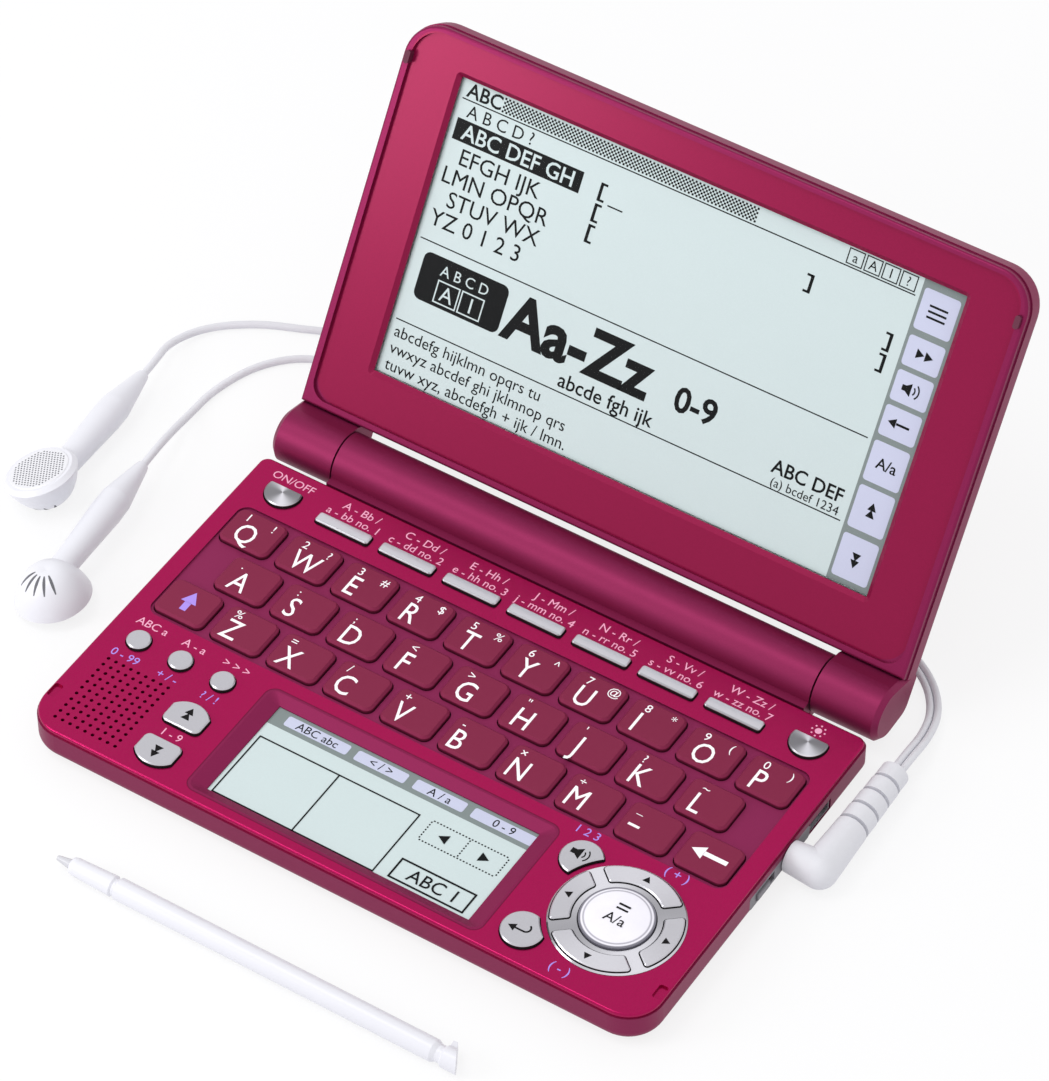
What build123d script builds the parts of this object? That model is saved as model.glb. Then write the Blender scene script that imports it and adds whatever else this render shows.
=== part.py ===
"""Electronic dictionary: clamshell with a battery barrel, keyboard, writing window and earphones.

Millimetres, +Z up. X runs across the keyboard, -Y is the user's side. The origin is on the table,
under the middle of the opened device with its stylus lying in front.
"""
import os
from math import acos, atan2, cos, degrees, hypot, pi, radians, sin, sqrt, tan

from build123d import *

os.makedirs("parts", exist_ok=True)

# --------------------------------------------------------------------------- driving dimensions
# Base
case_width = 148.0          # outside, across the keyboard
base_reach = 95.5           # hinge axis to the front of the base
rear_setback = 8.2          # hinge axis to the back edge of the deck
foot_height = 1.0
case_height = 7.0           # lower case, underside to rim
cover_thickness = 1.2
floor_wall = 1.4
side_wall = 1.6
case_corner = 8.0           # plan radius of the front corners
rear_corner = 2.0
belly_radius = 2.6          # rounded bottom edge
cover_inset = 0.3           # deck edge inside the case edge
deck_edge = 0.5             # rounded top edge of the deck

# Hinge barrel
barrel_radius = 6.3
hinge_height = 8.95
barrel_gap = 0.4            # between the barrel and each knuckle of the lid
barrel_end = 8.5            # solid end of the barrel, past the battery bay
cell_radius = 5.1           # two AAA cells end to end
cell_length = 44.5
cell_nub = 0.8              # raised pole at one end of a cell
nub_radius = 1.9
cell_clearance = 0.2
cell_gap = 0.1              # between the cells, and to each spring
contact_room = 5.4          # springs at each end of the bay
contact_tip = 2.2           # radii of a spring, at the cell and at its root, and of its plate
contact_root = 4.2
contact_plate = 4.8
plate_thickness = 0.4
pin_radius = 1.75
pin_fit = 0.05              # running clearance of the knuckle on its pin
pin_seat = 0.02             # the same pin where it is fixed in the barrel
pin_grip = 6.0              # length of pin held each side of the joint
pin_end_play = 0.5          # bore past the end of the pin
door_from = -145.0          # the battery door's opening, degrees round the axis from the back
door_to = 5.0
door_gap = 3.0              # degrees at each edge of the door
door_end_gap = 0.3
door_skin_gap = 0.1
groove_radius = 0.35        # thumb grooves of the door
groove_pitch = 2.2
groove_count = 4
groove_start = 8.0          # from the bay's end

# Lid, measured from the hinge axis
lid_angle = 58.3            # of the open lid above the horizontal
lid_short = 0.4             # the closed lid ends behind the base's front edge
lid_thickness = 7.8
face_offset = 1.4           # lid face behind the hinge axis
lid_start = 7.0             # lower edge of the lid, clear of the barrel
lid_corner = 8.5
lid_back_round = 2.5
frame_thickness = 2.0
lid_wall = 1.5
back_wall = 1.3
panel_side = 2.0            # rim round the glossy panel
panel_low = 8.95            # lower edge of the panel
panel_top = 1.5             # below the lid's end
panel_depth = 0.9
panel_corner = 7.0
panel_foot_corner = 4.0
window_side = 14.0          # from the lid's sides, its lower edge and its end
window_low = 19.65
window_top = 8.95
window_bevel = 1.0
glass_lap = 0.8             # glass edge under the frame
glass_thickness = 0.7
display_thickness = 2.4

# Keys
key_gap = 0.25              # round every key, to its hole
key_lip = 0.6               # flange that keeps a key in
flange_thickness = 0.5
flange_play = 0.3           # below the cover
key_travel = 0.8
well_side = 4.5             # from the case's sides
well_corner = 2.6
well_sink = 0.45
well_play = (0.68, 1.13)    # from the outer letter keys to the well's sides and ends
row_one = 28.6              # hinge axis to the first letter row
front_band = 31.59          # room in front of the letter rows
letter_gap = (1.96, 1.97)   # between letter keys, across and along
letter_corner = 1.7
letter_edge = 0.5
letter_rise = 0.75          # above the deck
bar_side = 18.455           # the row of bars from the case's sides
bar_gap = 2.77
bar_count = 7
bar_depth = 2.7
bar_line = 17.5
bar_rise = 0.9
moon_radius = 4.1
moon_flat = 1.4             # centre to the flat side
moon_side = 9.95            # from the case's side, as the next places with this ending
moon_line = 15.7            # in front of the hinge axis, as every line
dot_radius = 2.6
dot_side = 8.4
dot_front = 29.5            # behind the base's front edge, as the next places with this ending
dot_pitch = 10.45
page_width = 9.0
page_depth = 7.0
page_side = 28.8
page_fronts = (18.0, 6.7)
silver_rise = 0.85
silver_edge = 0.25

# Navigation ring
ring_side = 18.2
ring_front = 20.1
plate_radius = 13.9
plate_gap = 0.05            # press fit of the ring plate in the deck
plate_edge = 0.3
ring_key_gap = 0.25
ring_key_inner = 9.3
ring_key_outer = 13.3
spoke_width = 3.0
spoke_angle = 40.0
centre_radius = 7.7
plate_rise = 0.4
arrow_rise = 0.9
centre_rise = 1.5
centre_crown = 0.6          # height of the centre key's dome
fan_radius = 4.5
fan_cut = 15.2              # round the ring's centre
voice_offset = (-14.1, -9.3)        # from the ring's centre, across and along
back_offset = (-14.2, 12.2)

# Writing window
pad_shift = -0.7            # its middle from the base's middle
pad_front = 18.4
pad_side = 39.4
pad_depth = 30.4
pad_bevel = (3.3, 2.2)      # width of the bevel, at the sides and at the ends
pad_lap = (1.7, 1.4)        # display under the deck
display_depth = 2.2
pad_corner = 2.0
pad_sink = 1.3
pad_lip = 0.3
pad_rim = 0.8               # frame under the deck, outside the bevel
module_gap = 0.3
module_corner = 0.6

# Speaker and its grille
grille_side = 13.3
grille_front = 13.05
grille_columns = 9
grille_rows = 11
grille_pitch = 1.86
grille_hole = 0.42
speaker_radius = 8.0
speaker_front = 15.0
speaker_depth = 3.6
speaker_rim = (0.9, 1.2)    # width and height of its rim
cone_thickness = 0.6
magnet_share = 0.62         # of the speaker's radius
speaker_gap = 0.5           # to the key mat
board_gap = 0.4             # speaker to the board

# Inside
mat_thickness = 0.8
mat_gap = 0.3               # under a pressed key
board_thickness = 1.2
board_margin = 2.0
rear_screw_side = 16.8
rear_screw_line = 12.4
side_screw_side = 4.8
side_screw_shift = 3.4      # behind the middle between the ports' trim and the ring
front_screw_side = 8.0
front_screw_front = 5.2
tongue_room = 6.2           # rear screw to the barrel's tongue
chip_height = 1.1
chips = ((-18.0, 45.0, 14.0, 14.0), (12.0, 45.0, 18.0, 10.0))   # place and size of each
boss_radius = 2.2
screw_radius = 0.95
screw_hole = 1.05
screw_head = 1.8
head_depth = 1.0
head_clearance = 0.2
boss_gap = 0.3              # bosses to the board
mat_boss_gap = 0.5
foot_radius = 4.5
foot_sink = 0.5
foot_gap = 0.1
foot_side = 14.0
foot_front = 19.5
heel_size = (6.6, 6.6)      # moulded foot under each end of the barrel
heel_pad_inset = 0.3
tongue_depth = 5.0          # barrel's tongue, past the case's rear wall
tongue_gap = 0.2
web_low = -3.4              # underside of the barrel's web, below the hinge axis
web_gap = 0.1               # web to the case's rear wall
web_sink = 0.15             # top of the web below the deck
bay_web_start = 5.5         # web from the hinge axis: along the bay, and at the barrel's ends
end_web_start = 4.0

# Right side
jack_line = 39.6
jack_height = 4.6
jack_bore = 1.9
jack_collar = 2.5
collar_gap = 0.1
jack_body = (10.0, 6.6, 4.4)
plug_radius = 1.75
usb_line = 27.6
usb_size = (7.0, 7.8, 2.9)
usb_wall = 0.3
usb_gap = 0.2
usb_tongue = (0.7, 0.7)     # share of the port's width, and thickness
usb_back = 1.0              # behind the port's mouth
switch_line = 49.1
switch_knob = (4.6, 1.7)
switch_travel = 2.0
switch_stand = 0.5
switch_gap = 0.3            # knob to its slot
slot_end = 0.5              # at each end of the knob's travel
switch_flange = (1.0, 0.7, 0.75)    # thickness, and past the knob along and up
trim_span = (31.8, 55.0)
trim_height = 3.6
trim_depth = 0.7
trim_corner = 0.8
bay_side = 12.1             # clear room behind the ports: its depth, and between two lines
bay_span = (22.0, 54.5)
bumper_top = 9.1            # below the lid's end
bumper_side = 1.7
bumper_size = (1.2, 2.8)
bumper_height = 0.9
bumper_play = 0.4

# Stylus
stylus_length = 96.0
stylus_radius = 2.4
stylus_stand_off = 21.7     # its axis in front of the base
stylus_shift = -1.5

# Earphones
boot_radius = 4.0
boot_reach = 6.9            # case side to the long leg of the plug body
boot_leg = 12.5
relief_length = 17.5
relief_rings = 4
trunk_diameter = 3.2
branch_diameter = 1.7
head_radius = 8.3
rim_depth = 0.9             # of the head's widest line behind its grille
bowl_depth = 8.4
bowl_end = 3.6              # radius of the bowl's round end
grille_radius = 6.7
grille_seat = 0.5
stem_radius = 2.9           # at the head
stem_swell = 3.5            # at its widest
stem_swell_at = 25.0        # from the head's centre
stem_end = 1.3
stem_length = 38.0
stem_depth = 4.6            # stem axis behind the grille face

# --------------------------------------------------------------------------- derived places
half_width = case_width / 2
lid_length = base_reach - lid_short
panel_high = lid_length - panel_top
window_width = case_width - 2 * window_side
window_height = lid_length - window_top - window_low
well_width = case_width - 2 * well_side
letter_pitch = (well_width - 2 * well_play[0] + letter_gap[0]) / 10
letter_width = letter_pitch - letter_gap[0]
row_pitch = (base_reach - front_band - row_one) / 3
letter_depth = row_pitch - letter_gap[1]
well_depth = 3 * row_pitch - letter_gap[1] + 2 * well_play[1]
bar_pitch = (case_width - 2 * bar_side) / bar_count
bar_width = bar_pitch - bar_gap
moon_place = (half_width - moon_side, moon_line)
dot_first = half_width - dot_side
dot_line = base_reach - dot_front
page_place = half_width - page_side
ring_place = (half_width - ring_side, base_reach - ring_front)
voice_place = (ring_place[0] + voice_offset[0], ring_place[1] + voice_offset[1])
back_place = (ring_place[0] + back_offset[0], ring_place[1] + back_offset[1])
pad_place = (pad_shift, base_reach - pad_front)
pad_frame = (case_width - 2 * pad_side, pad_depth)
pad_window = (pad_frame[0] - 2 * pad_bevel[0], pad_frame[1] - 2 * pad_bevel[1])
pad_module = (pad_window[0] + 2 * pad_lap[0], pad_window[1] + 2 * pad_lap[1], display_depth)
grille_place = (half_width - grille_side, base_reach - grille_front)
speaker_line = base_reach - speaker_front
foot_place = (half_width - foot_side, base_reach - foot_front)
side_screw_line = (trim_span[1] + ring_place[1]) / 2 - side_screw_shift
screw_places = ((half_width - rear_screw_side, rear_screw_line),
                (half_width - side_screw_side, side_screw_line),
                (half_width - front_screw_side, base_reach - front_screw_front))
bumper_line = lid_length - bumper_top
case_bottom = foot_height
case_rim = case_bottom + case_height
deck = case_rim + cover_thickness
phi = radians(lid_angle)
back_reach = ((lid_length - lid_back_round) * cos(phi)
              + (face_offset + lid_thickness - lid_back_round) * sin(phi) + lid_back_round)
hinge_y = (base_reach + stylus_stand_off + stylus_radius - back_reach) / 2
front_y = hinge_y - base_reach
rear_y = hinge_y - rear_setback
mid_y = (front_y + rear_y) / 2
base_depth = rear_y - front_y
well_y = hinge_y - row_one - row_pitch
flange_top = case_rim - flange_play
flange_bottom = flange_top - flange_thickness
mat_top = flange_bottom - key_travel - mat_gap
mat_bottom = mat_top - mat_thickness
board_bottom = mat_bottom - board_thickness
inside_floor = case_bottom + floor_wall
cell_bay = cell_length + contact_room           # half of the battery bay
barrel_half = cell_bay + barrel_end
knuckle_length = half_width - barrel_half - barrel_gap
knuckle_start = half_width - knuckle_length
bore_radius = cell_radius + cell_clearance
tongue_half = screw_places[0][0] - tongue_room
tongue_bottom = case_bottom + case_height / 2
tongue_end = rear_y - tongue_depth
trim_y = hinge_y - (trim_span[0] + trim_span[1]) / 2
trim_length = trim_span[1] - trim_span[0]
jack_y = hinge_y - jack_line
wall_inside = half_width - side_wall
knob_y = hinge_y - switch_line - switch_travel / 2
lid_face = Plane(origin=(0, hinge_y, hinge_height), x_dir=(1, 0, 0), z_dir=(0, -sin(phi), cos(phi)))
lid_front = -face_offset
lid_back = -face_offset - lid_thickness
glass_top = lid_front - frame_thickness
window_mid = window_low + window_height / 2
through = cover_thickness + 2       # cut that goes right through the deck from under it


def at(x, from_hinge):
    """Place on the deck: x across, and the distance in front of the hinge axis."""
    return (x, hinge_y - from_hinge)


def save(part, name):
    """Name a finished piece and write it."""
    part.label = name
    export_step(part, f"parts/{name}.step")


def base_outline(inset=0.0):
    """Plan of the base, shrunk by inset: full corners in front and tight ones at the hinge."""
    with BuildSketch() as plan:
        with Locations((0, mid_y)):
            Rectangle(case_width - 2 * inset, base_depth - 2 * inset)
        fillet(plan.vertices().group_by(Axis.Y)[0], case_corner - inset)
        fillet(plan.vertices().group_by(Axis.Y)[-1], rear_corner)
    return plan.sketch


def lid_outline(inset=0.0):
    """Outline of the lid in its own plane, shrunk by inset."""
    with BuildSketch() as plan:
        with Locations((0, (lid_start + lid_length) / 2)):
            Rectangle(case_width - 2 * inset, lid_length - lid_start - 2 * inset)
        fillet(plan.vertices().group_by(Axis.Y)[-1], lid_corner - inset)
    return plan.sketch


def letter_outline():
    with BuildSketch() as plan:
        RectangleRounded(letter_width, letter_depth, letter_corner)
    return plan.sketch


def bar_outline():
    with BuildSketch() as plan:
        RectangleRounded(bar_width, bar_depth, 0.6)
    return plan.sketch


def moon_outline():
    """Half-moon: a disc with its far side cut flat."""
    with BuildSketch() as plan:
        Circle(moon_radius)
        with Locations((0, moon_flat + moon_radius)):
            Rectangle(3 * moon_radius, 2 * moon_radius, mode=Mode.SUBTRACT)
        fillet(plan.vertices(), 0.5)
    return plan.sketch


def dot_outline():
    with BuildSketch() as plan:
        Circle(dot_radius)
    return plan.sketch


def page_outline(turn):
    """Arched key; turn of 1 puts the arch at the back and -1 at the front."""
    arch = page_width * 0.62
    with BuildSketch() as plan:
        Rectangle(page_width, page_depth)
        with Locations((0, turn * (page_depth / 2 - arch))):
            Circle(arch, mode=Mode.INTERSECT)
        with Locations((0, -turn * page_depth / 4)):
            Rectangle(page_width, page_depth / 2)
        fillet(plan.vertices().group_by(Axis.Y)[0 if turn > 0 else -1], 1.4)
    return plan.sketch


def fan_outline(place):
    """Round key bitten by a circle concentric with the navigation ring."""
    with BuildSketch() as plan:
        Circle(fan_radius)
        with Locations((ring_place[0] - place[0], place[1] - ring_place[1])):
            Circle(fan_cut, mode=Mode.SUBTRACT)
    return plan.sketch


def arrow_outline(side):
    """One of the four ring keys; side is 0 right, 1 up, 2 left, 3 down."""
    turn = (0, 90, 180, 270)[side]
    spread = spoke_angle if side % 2 == 0 else 90 - spoke_angle
    far = 2 * ring_key_outer
    with BuildSketch() as plan:
        Circle(ring_key_outer)
        Circle(ring_key_inner, mode=Mode.SUBTRACT)
        with BuildLine():
            reach = (far * cos(radians(spread)), far * sin(radians(spread)))
            Polyline((0, 0), reach, (reach[0], -reach[1]), (0, 0))
        make_face(mode=Mode.INTERSECT)
        for sense in (1, -1):
            with Locations(Location((0, 0, 0), (0, 0, sense * spread))):
                Rectangle(2 * far, spoke_width, mode=Mode.SUBTRACT)
        fillet(plan.vertices(), 0.6)
    return Rot(0, 0, turn) * plan.sketch


def centre_outline():
    with BuildSketch() as plan:
        Circle(centre_radius)
    return plan.sketch


# name: outline, place and rise above the deck, for every key that moves by itself
control_keys = {
    "power_key": (moon_outline(), at(-moon_place[0], moon_place[1]), silver_rise),
    "backlight_key": (moon_outline(), at(moon_place[0], moon_place[1]), silver_rise),
    "shift_key": (letter_outline(), at(-4.5 * letter_pitch, row_one + 2 * row_pitch), letter_rise),
    "delete_key": (letter_outline(), at(4.5 * letter_pitch, row_one + 2 * row_pitch), letter_rise),
    "page_up_key": (page_outline(1), at(-page_place, base_reach - page_fronts[0]), silver_rise),
    "page_down_key": (page_outline(-1), at(-page_place, base_reach - page_fronts[1]), silver_rise),
    "voice_key": (fan_outline(voice_place), at(*voice_place), silver_rise),
    "back_key": (fan_outline(back_place), at(*back_place), silver_rise),
    "right_key": (arrow_outline(0), at(*ring_place), arrow_rise),
    "up_key": (arrow_outline(1), at(*ring_place), arrow_rise),
    "left_key": (arrow_outline(2), at(*ring_place), arrow_rise),
    "down_key": (arrow_outline(3), at(*ring_place), arrow_rise),
}
for number in range(bar_count):
    place = at((number - (bar_count - 1) / 2) * bar_pitch, bar_line)
    control_keys[f"function_key_{number + 1}"] = (bar_outline(), place, bar_rise)
for number in range(3):
    place = at(number * dot_pitch - dot_first, dot_line)
    control_keys[f"round_key_{number + 1}"] = (dot_outline(), place, silver_rise)

# The letter rows: how many keys, and how far the first one stands from the row's left end
letter_rows = {"top_row_keys": (10, 0.0, 0), "middle_row_keys": (9, 0.49, 1), "bottom_row_keys": (8, 1.0, 2)}


def row_places(count, start, line):
    return [at((start + number - 4.5) * letter_pitch, row_one + line * row_pitch) for number in range(count)]


def in_ring(name):
    return name in ("right_key", "up_key", "left_key", "down_key")


# --------------------------------------------------------------------------- base: lower case
with BuildPart() as lower_case:
    with BuildSketch(Plane.XY.offset(case_bottom)):
        add(base_outline())
    extrude(amount=case_height)
    fillet(lower_case.faces().sort_by(Axis.Z)[0].edges(), belly_radius)
    with BuildSketch(Plane.XY.offset(inside_floor)):
        add(base_outline(side_wall))
    extrude(amount=case_height, mode=Mode.SUBTRACT)
    for x, line in screw_places:
        for side in (-1, 1):
            with BuildSketch(Plane.XY.offset(inside_floor)):
                with Locations(at(side * x, line)):
                    Circle(boss_radius)
            extrude(amount=(case_rim - inside_floor) / 2)
            with Locations((*at(side * x, line), case_bottom)):
                Cylinder(screw_hole, 2 * case_height, mode=Mode.SUBTRACT)
                Cylinder(screw_head + head_clearance, 2 * head_depth, mode=Mode.SUBTRACT)
    for side in (-1, 1):
        with Locations((*at(side * foot_place[0], foot_place[1]), case_bottom)):
            Cylinder(foot_radius + foot_gap, 2 * foot_sink, mode=Mode.SUBTRACT)
    # the barrel's tongue comes in over the rear wall
    with Locations((0, rear_y, (tongue_bottom + case_rim) / 2)):
        Box(2 * (tongue_half + tongue_gap), 2 * side_wall + tongue_gap, case_rim - tongue_bottom,
            mode=Mode.SUBTRACT)
    # right side: trim recess, jack and port
    with Locations((half_width, trim_y, jack_height)):
        Box(2 * trim_depth, trim_length, trim_height, mode=Mode.SUBTRACT)
    with Locations((half_width, jack_y, jack_height)):
        Cylinder(jack_collar + collar_gap, 4 * side_wall, rotation=(0, 90, 0), mode=Mode.SUBTRACT)
    with Locations((half_width, hinge_y - usb_line, jack_height)):
        Box(4 * side_wall, usb_size[1] + 2 * usb_gap, usb_size[2] + 2 * usb_gap, mode=Mode.SUBTRACT)
    with Locations((half_width, hinge_y - switch_line, jack_height)):
        Box(4 * side_wall, switch_knob[0] + switch_travel + 2 * slot_end, switch_knob[1] + 2 * switch_gap,
            mode=Mode.SUBTRACT)
save(lower_case.part, "lower_case")

# --------------------------------------------------------------------------- base: deck
with BuildPart() as top_cover:
    with BuildSketch(Plane.XY.offset(case_rim)):
        add(base_outline(cover_inset))
    extrude(amount=cover_thickness)
    fillet(top_cover.faces().sort_by(Axis.Z)[-1].edges(), deck_edge)
    # frame under the writing window, and bosses over the case's bosses
    with BuildSketch(Plane.XY.offset(case_rim)):
        with Locations(at(*pad_place)):
            Rectangle(pad_frame[0] + 2 * pad_rim, pad_frame[1] + 2 * pad_rim)
    extrude(amount=-(pad_sink + pad_lip - cover_thickness))
    for x, line in screw_places:
        for side in (-1, 1):
            with BuildSketch(Plane.XY.offset(case_rim)):
                with Locations(at(side * x, line)):
                    Circle(boss_radius)
                    Circle(screw_hole, mode=Mode.SUBTRACT)
            extrude(amount=-(case_rim - inside_floor) / 2)
    # keyboard well
    with BuildSketch(Plane.XY.offset(deck - well_sink)):
        with Locations((0, well_y)):
            RectangleRounded(well_width, well_depth, well_corner)
    extrude(amount=cover_thickness, mode=Mode.SUBTRACT)
    # bevelled writing window
    with BuildSketch(Plane.XY.offset(deck)):
        with Locations(at(*pad_place)):
            RectangleRounded(*pad_frame, pad_corner)
    with BuildSketch(Plane.XY.offset(deck - pad_sink)):
        with Locations(at(*pad_place)):
            RectangleRounded(*pad_window, 0.4)
    loft(mode=Mode.SUBTRACT)
    with BuildSketch(Plane.XY.offset(deck)):
        with Locations(at(*pad_place)):
            Rectangle(*pad_window)
    extrude(amount=-2 * pad_sink, mode=Mode.SUBTRACT)
    # key holes
    for name, (outline, place, rise) in control_keys.items():
        if not in_ring(name):
            with BuildSketch(Plane.XY.offset(case_rim - 1)):
                with Locations(place):
                    add(offset(outline, amount=key_gap, mode=Mode.PRIVATE))
            extrude(amount=through, mode=Mode.SUBTRACT)
    for count, start, line in letter_rows.values():
        with BuildSketch(Plane.XY.offset(case_rim - 1)):
            with Locations(row_places(count, start, line)):
                RectangleRounded(letter_width + 2 * key_gap, letter_depth + 2 * key_gap,
                                 letter_corner + key_gap)
        extrude(amount=through, mode=Mode.SUBTRACT)
    with BuildSketch(Plane.XY.offset(case_rim - 1)):
        with Locations(at(*ring_place)):
            Circle(plate_radius + plate_gap)
    extrude(amount=through, mode=Mode.SUBTRACT)
    # speaker grille: small eight-sided holes
    with BuildSketch(Plane.XY.offset(case_rim - 1)):
        with Locations(at(-grille_place[0], grille_place[1])):
            with GridLocations(grille_pitch, grille_pitch, grille_columns, grille_rows):
                RegularPolygon(grille_hole, 8)
    extrude(amount=through, mode=Mode.SUBTRACT)
    # seats for the lid's bumpers
    for side in (-1, 1):
        with BuildSketch(Plane.XY.offset(deck)):
            with Locations(at(side * (half_width - bumper_side), bumper_line)):
                RectangleRounded(bumper_size[0] + 2 * bumper_play, bumper_size[1] + 2 * bumper_play, 0.6)
        extrude(amount=-cover_thickness / 2, mode=Mode.SUBTRACT)
save(top_cover.part, "top_cover")

# --------------------------------------------------------------------------- keys
def make_key(outline, places, top, edge, name):
    """Keys with a cap that comes up through the deck and a flange that stays under it."""
    with BuildPart() as key:
        for place in places:
            with BuildSketch(Plane.XY.offset(flange_bottom)):
                with Locations(place):
                    add(offset(outline, amount=key_lip, mode=Mode.PRIVATE))
            extrude(amount=flange_thickness)
            with BuildSketch(Plane.XY.offset(flange_top)):
                with Locations(place):
                    add(outline)
            extrude(amount=top - flange_top)
        caps = key.faces().filter_by(lambda face: abs(face.center().Z - top) < 1e-4)
        chamfer(caps.edges(), edge)
    save(key.part, name)


for name, (outline, place, rise) in control_keys.items():
    edge = letter_edge if rise == letter_rise else silver_edge
    make_key(outline, [place], deck + rise, edge, name)
for name, (count, start, line) in letter_rows.items():
    make_key(letter_outline(), row_places(count, start, line), deck + letter_rise, letter_edge, name)

# --------------------------------------------------------------------------- navigation ring
with BuildPart() as nav_plate:
    with BuildSketch(Plane.XY.offset(case_rim)):
        with Locations(at(*ring_place)):
            Circle(plate_radius)
    extrude(amount=cover_thickness + plate_rise)
    chamfer(nav_plate.faces().sort_by(Axis.Z)[-1].edges(), plate_edge)
    for name, (outline, place, rise) in control_keys.items():
        if in_ring(name):
            with BuildSketch(Plane.XY.offset(case_rim - 1)):
                with Locations(place):
                    add(offset(outline, amount=ring_key_gap, mode=Mode.PRIVATE))
            extrude(amount=through, mode=Mode.SUBTRACT)
    with BuildSketch(Plane.XY.offset(case_rim - 1)):
        with Locations(at(*ring_place)):
            Circle(centre_radius + ring_key_gap)
    extrude(amount=through, mode=Mode.SUBTRACT)
save(nav_plate.part, "nav_plate")

with BuildPart() as enter_key:
    sphere_radius = (centre_radius ** 2 + centre_crown ** 2) / (2 * centre_crown)
    dome_top = deck + centre_rise
    with BuildSketch(Plane.XZ.offset(-at(*ring_place)[1])) as profile:
        with BuildLine():
            low = (ring_place[0], flange_bottom)
            rim = (ring_place[0] + centre_radius, dome_top - centre_crown)
            Polyline(low, (ring_place[0] + centre_radius + key_lip, flange_bottom),
                     (ring_place[0] + centre_radius + key_lip, flange_top),
                     (ring_place[0] + centre_radius, flange_top), rim)
            RadiusArc(rim, (ring_place[0], dome_top), -sphere_radius)
            Line((ring_place[0], dome_top), low)
        make_face()
    revolve(axis=Axis((*at(*ring_place), 0), (0, 0, 1)))
save(enter_key.part, "enter_key")

# --------------------------------------------------------------------------- inside the base
def inner_layer(inset, hole, speaker_hole):
    """Plan of the key mat or the board: the case's inside less what stands through it."""
    with BuildSketch() as plan:
        add(base_outline(side_wall + inset))
        with Locations((0, tongue_end + case_width / 2)):
            Rectangle(case_width, case_width + 2 * mat_gap, mode=Mode.SUBTRACT)
        for x, line in screw_places:
            with Locations(at(x, line), at(-x, line)):
                Circle(boss_radius + hole, mode=Mode.SUBTRACT)
        with Locations(at(-grille_place[0], speaker_line)):
            Circle(speaker_radius + speaker_hole, mode=Mode.SUBTRACT)
        with Locations(at(case_width - bay_side, (bay_span[0] + bay_span[1]) / 2)):
            Rectangle(case_width, bay_span[1] - bay_span[0], mode=Mode.SUBTRACT)
    return plan.sketch


with BuildPart() as key_mat:
    with BuildSketch(Plane.XY.offset(mat_bottom)):
        add(inner_layer(board_margin, mat_boss_gap, speaker_gap))
        with Locations(at(*pad_place)):
            Rectangle(pad_module[0] + 2 * module_gap, pad_module[1] + 2 * module_gap, mode=Mode.SUBTRACT)
    extrude(amount=mat_thickness)
save(key_mat.part, "key_mat")

with BuildPart() as main_board:
    with BuildSketch(Plane.XY.offset(board_bottom)):
        add(inner_layer(board_margin / 2, boss_gap, board_gap))
    extrude(amount=board_thickness)
    # chips on the underside
    with BuildSketch(Plane.XY.offset(board_bottom)):
        for x, line, width, depth in chips:
            with Locations(at(x, line)):
                Rectangle(width, depth)
    extrude(amount=-chip_height)
save(main_board.part, "main_board")

with BuildPart() as speaker:
    with BuildSketch(Plane.XY.offset(case_rim)):
        with Locations(at(-grille_place[0], speaker_line)):
            Circle(speaker_radius)
            Circle(speaker_radius - speaker_rim[0], mode=Mode.SUBTRACT)
    extrude(amount=-speaker_rim[1])
    with BuildSketch(Plane.XY.offset(case_rim - cone_thickness)):
        with Locations(at(-grille_place[0], speaker_line)):
            Circle(speaker_radius)
    extrude(amount=-cone_thickness)
    with BuildSketch(Plane.XY.offset(case_rim - speaker_rim[1])):
        with Locations(at(-grille_place[0], speaker_line)):
            Circle(speaker_radius * magnet_share)
    extrude(amount=-(speaker_depth - speaker_rim[1]))
save(speaker.part, "speaker")

with BuildPart() as writing_display:
    display_top = deck - pad_sink - pad_lip
    with BuildSketch(Plane.XY.offset(display_top)):
        with Locations(at(*pad_place)):
            Rectangle(pad_module[0], pad_module[1])
    extrude(amount=-pad_module[2])
    chamfer(writing_display.edges().filter_by(Axis.Z), module_corner)
save(writing_display.part, "writing_display")

# --------------------------------------------------------------------------- right side
with BuildPart() as headphone_jack:
    with Locations((wall_inside - jack_body[0] / 2, jack_y, jack_height)):
        Box(*jack_body)
    with Locations((wall_inside + (side_wall - trim_depth) / 2, jack_y, jack_height)):
        Cylinder(jack_collar, side_wall - trim_depth, rotation=(0, 90, 0))
    with Locations((wall_inside, jack_y, jack_height)):
        Cylinder(jack_bore, 3 * jack_body[0], rotation=(0, 90, 0), mode=Mode.SUBTRACT)
save(headphone_jack.part, "headphone_jack")

with BuildPart() as usb_port:
    port_y = hinge_y - usb_line
    port_x = half_width - cover_inset - usb_size[0] / 2
    with Locations((port_x, port_y, jack_height)):
        Box(*usb_size)
    with Locations((port_x + usb_back, port_y, jack_height)):
        Box(usb_size[0], usb_size[1] - 2 * usb_wall, usb_size[2] - 2 * usb_wall, mode=Mode.SUBTRACT)
    with Locations((port_x - 0.4 * usb_back, port_y, jack_height)):
        Box(usb_size[0] - usb_back, usb_size[1] * usb_tongue[0], usb_tongue[1])
save(usb_port.part, "usb_port")

with BuildPart() as port_trim:
    with Locations((half_width - trim_depth / 2, trim_y, jack_height)):
        Box(trim_depth, trim_length, trim_height)
    fillet(port_trim.edges().filter_by(Axis.X), trim_corner)
    with Locations((half_width, jack_y, jack_height)):
        Cylinder(jack_bore, 2 * side_wall, rotation=(0, 90, 0), mode=Mode.SUBTRACT)
    with Locations((half_width, hinge_y - switch_line, jack_height)):
        Box(side_wall, switch_knob[0] + switch_travel + 2 * switch_gap, switch_knob[1] + 2 * switch_gap,
            mode=Mode.SUBTRACT)
save(port_trim.part, "port_trim")

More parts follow.
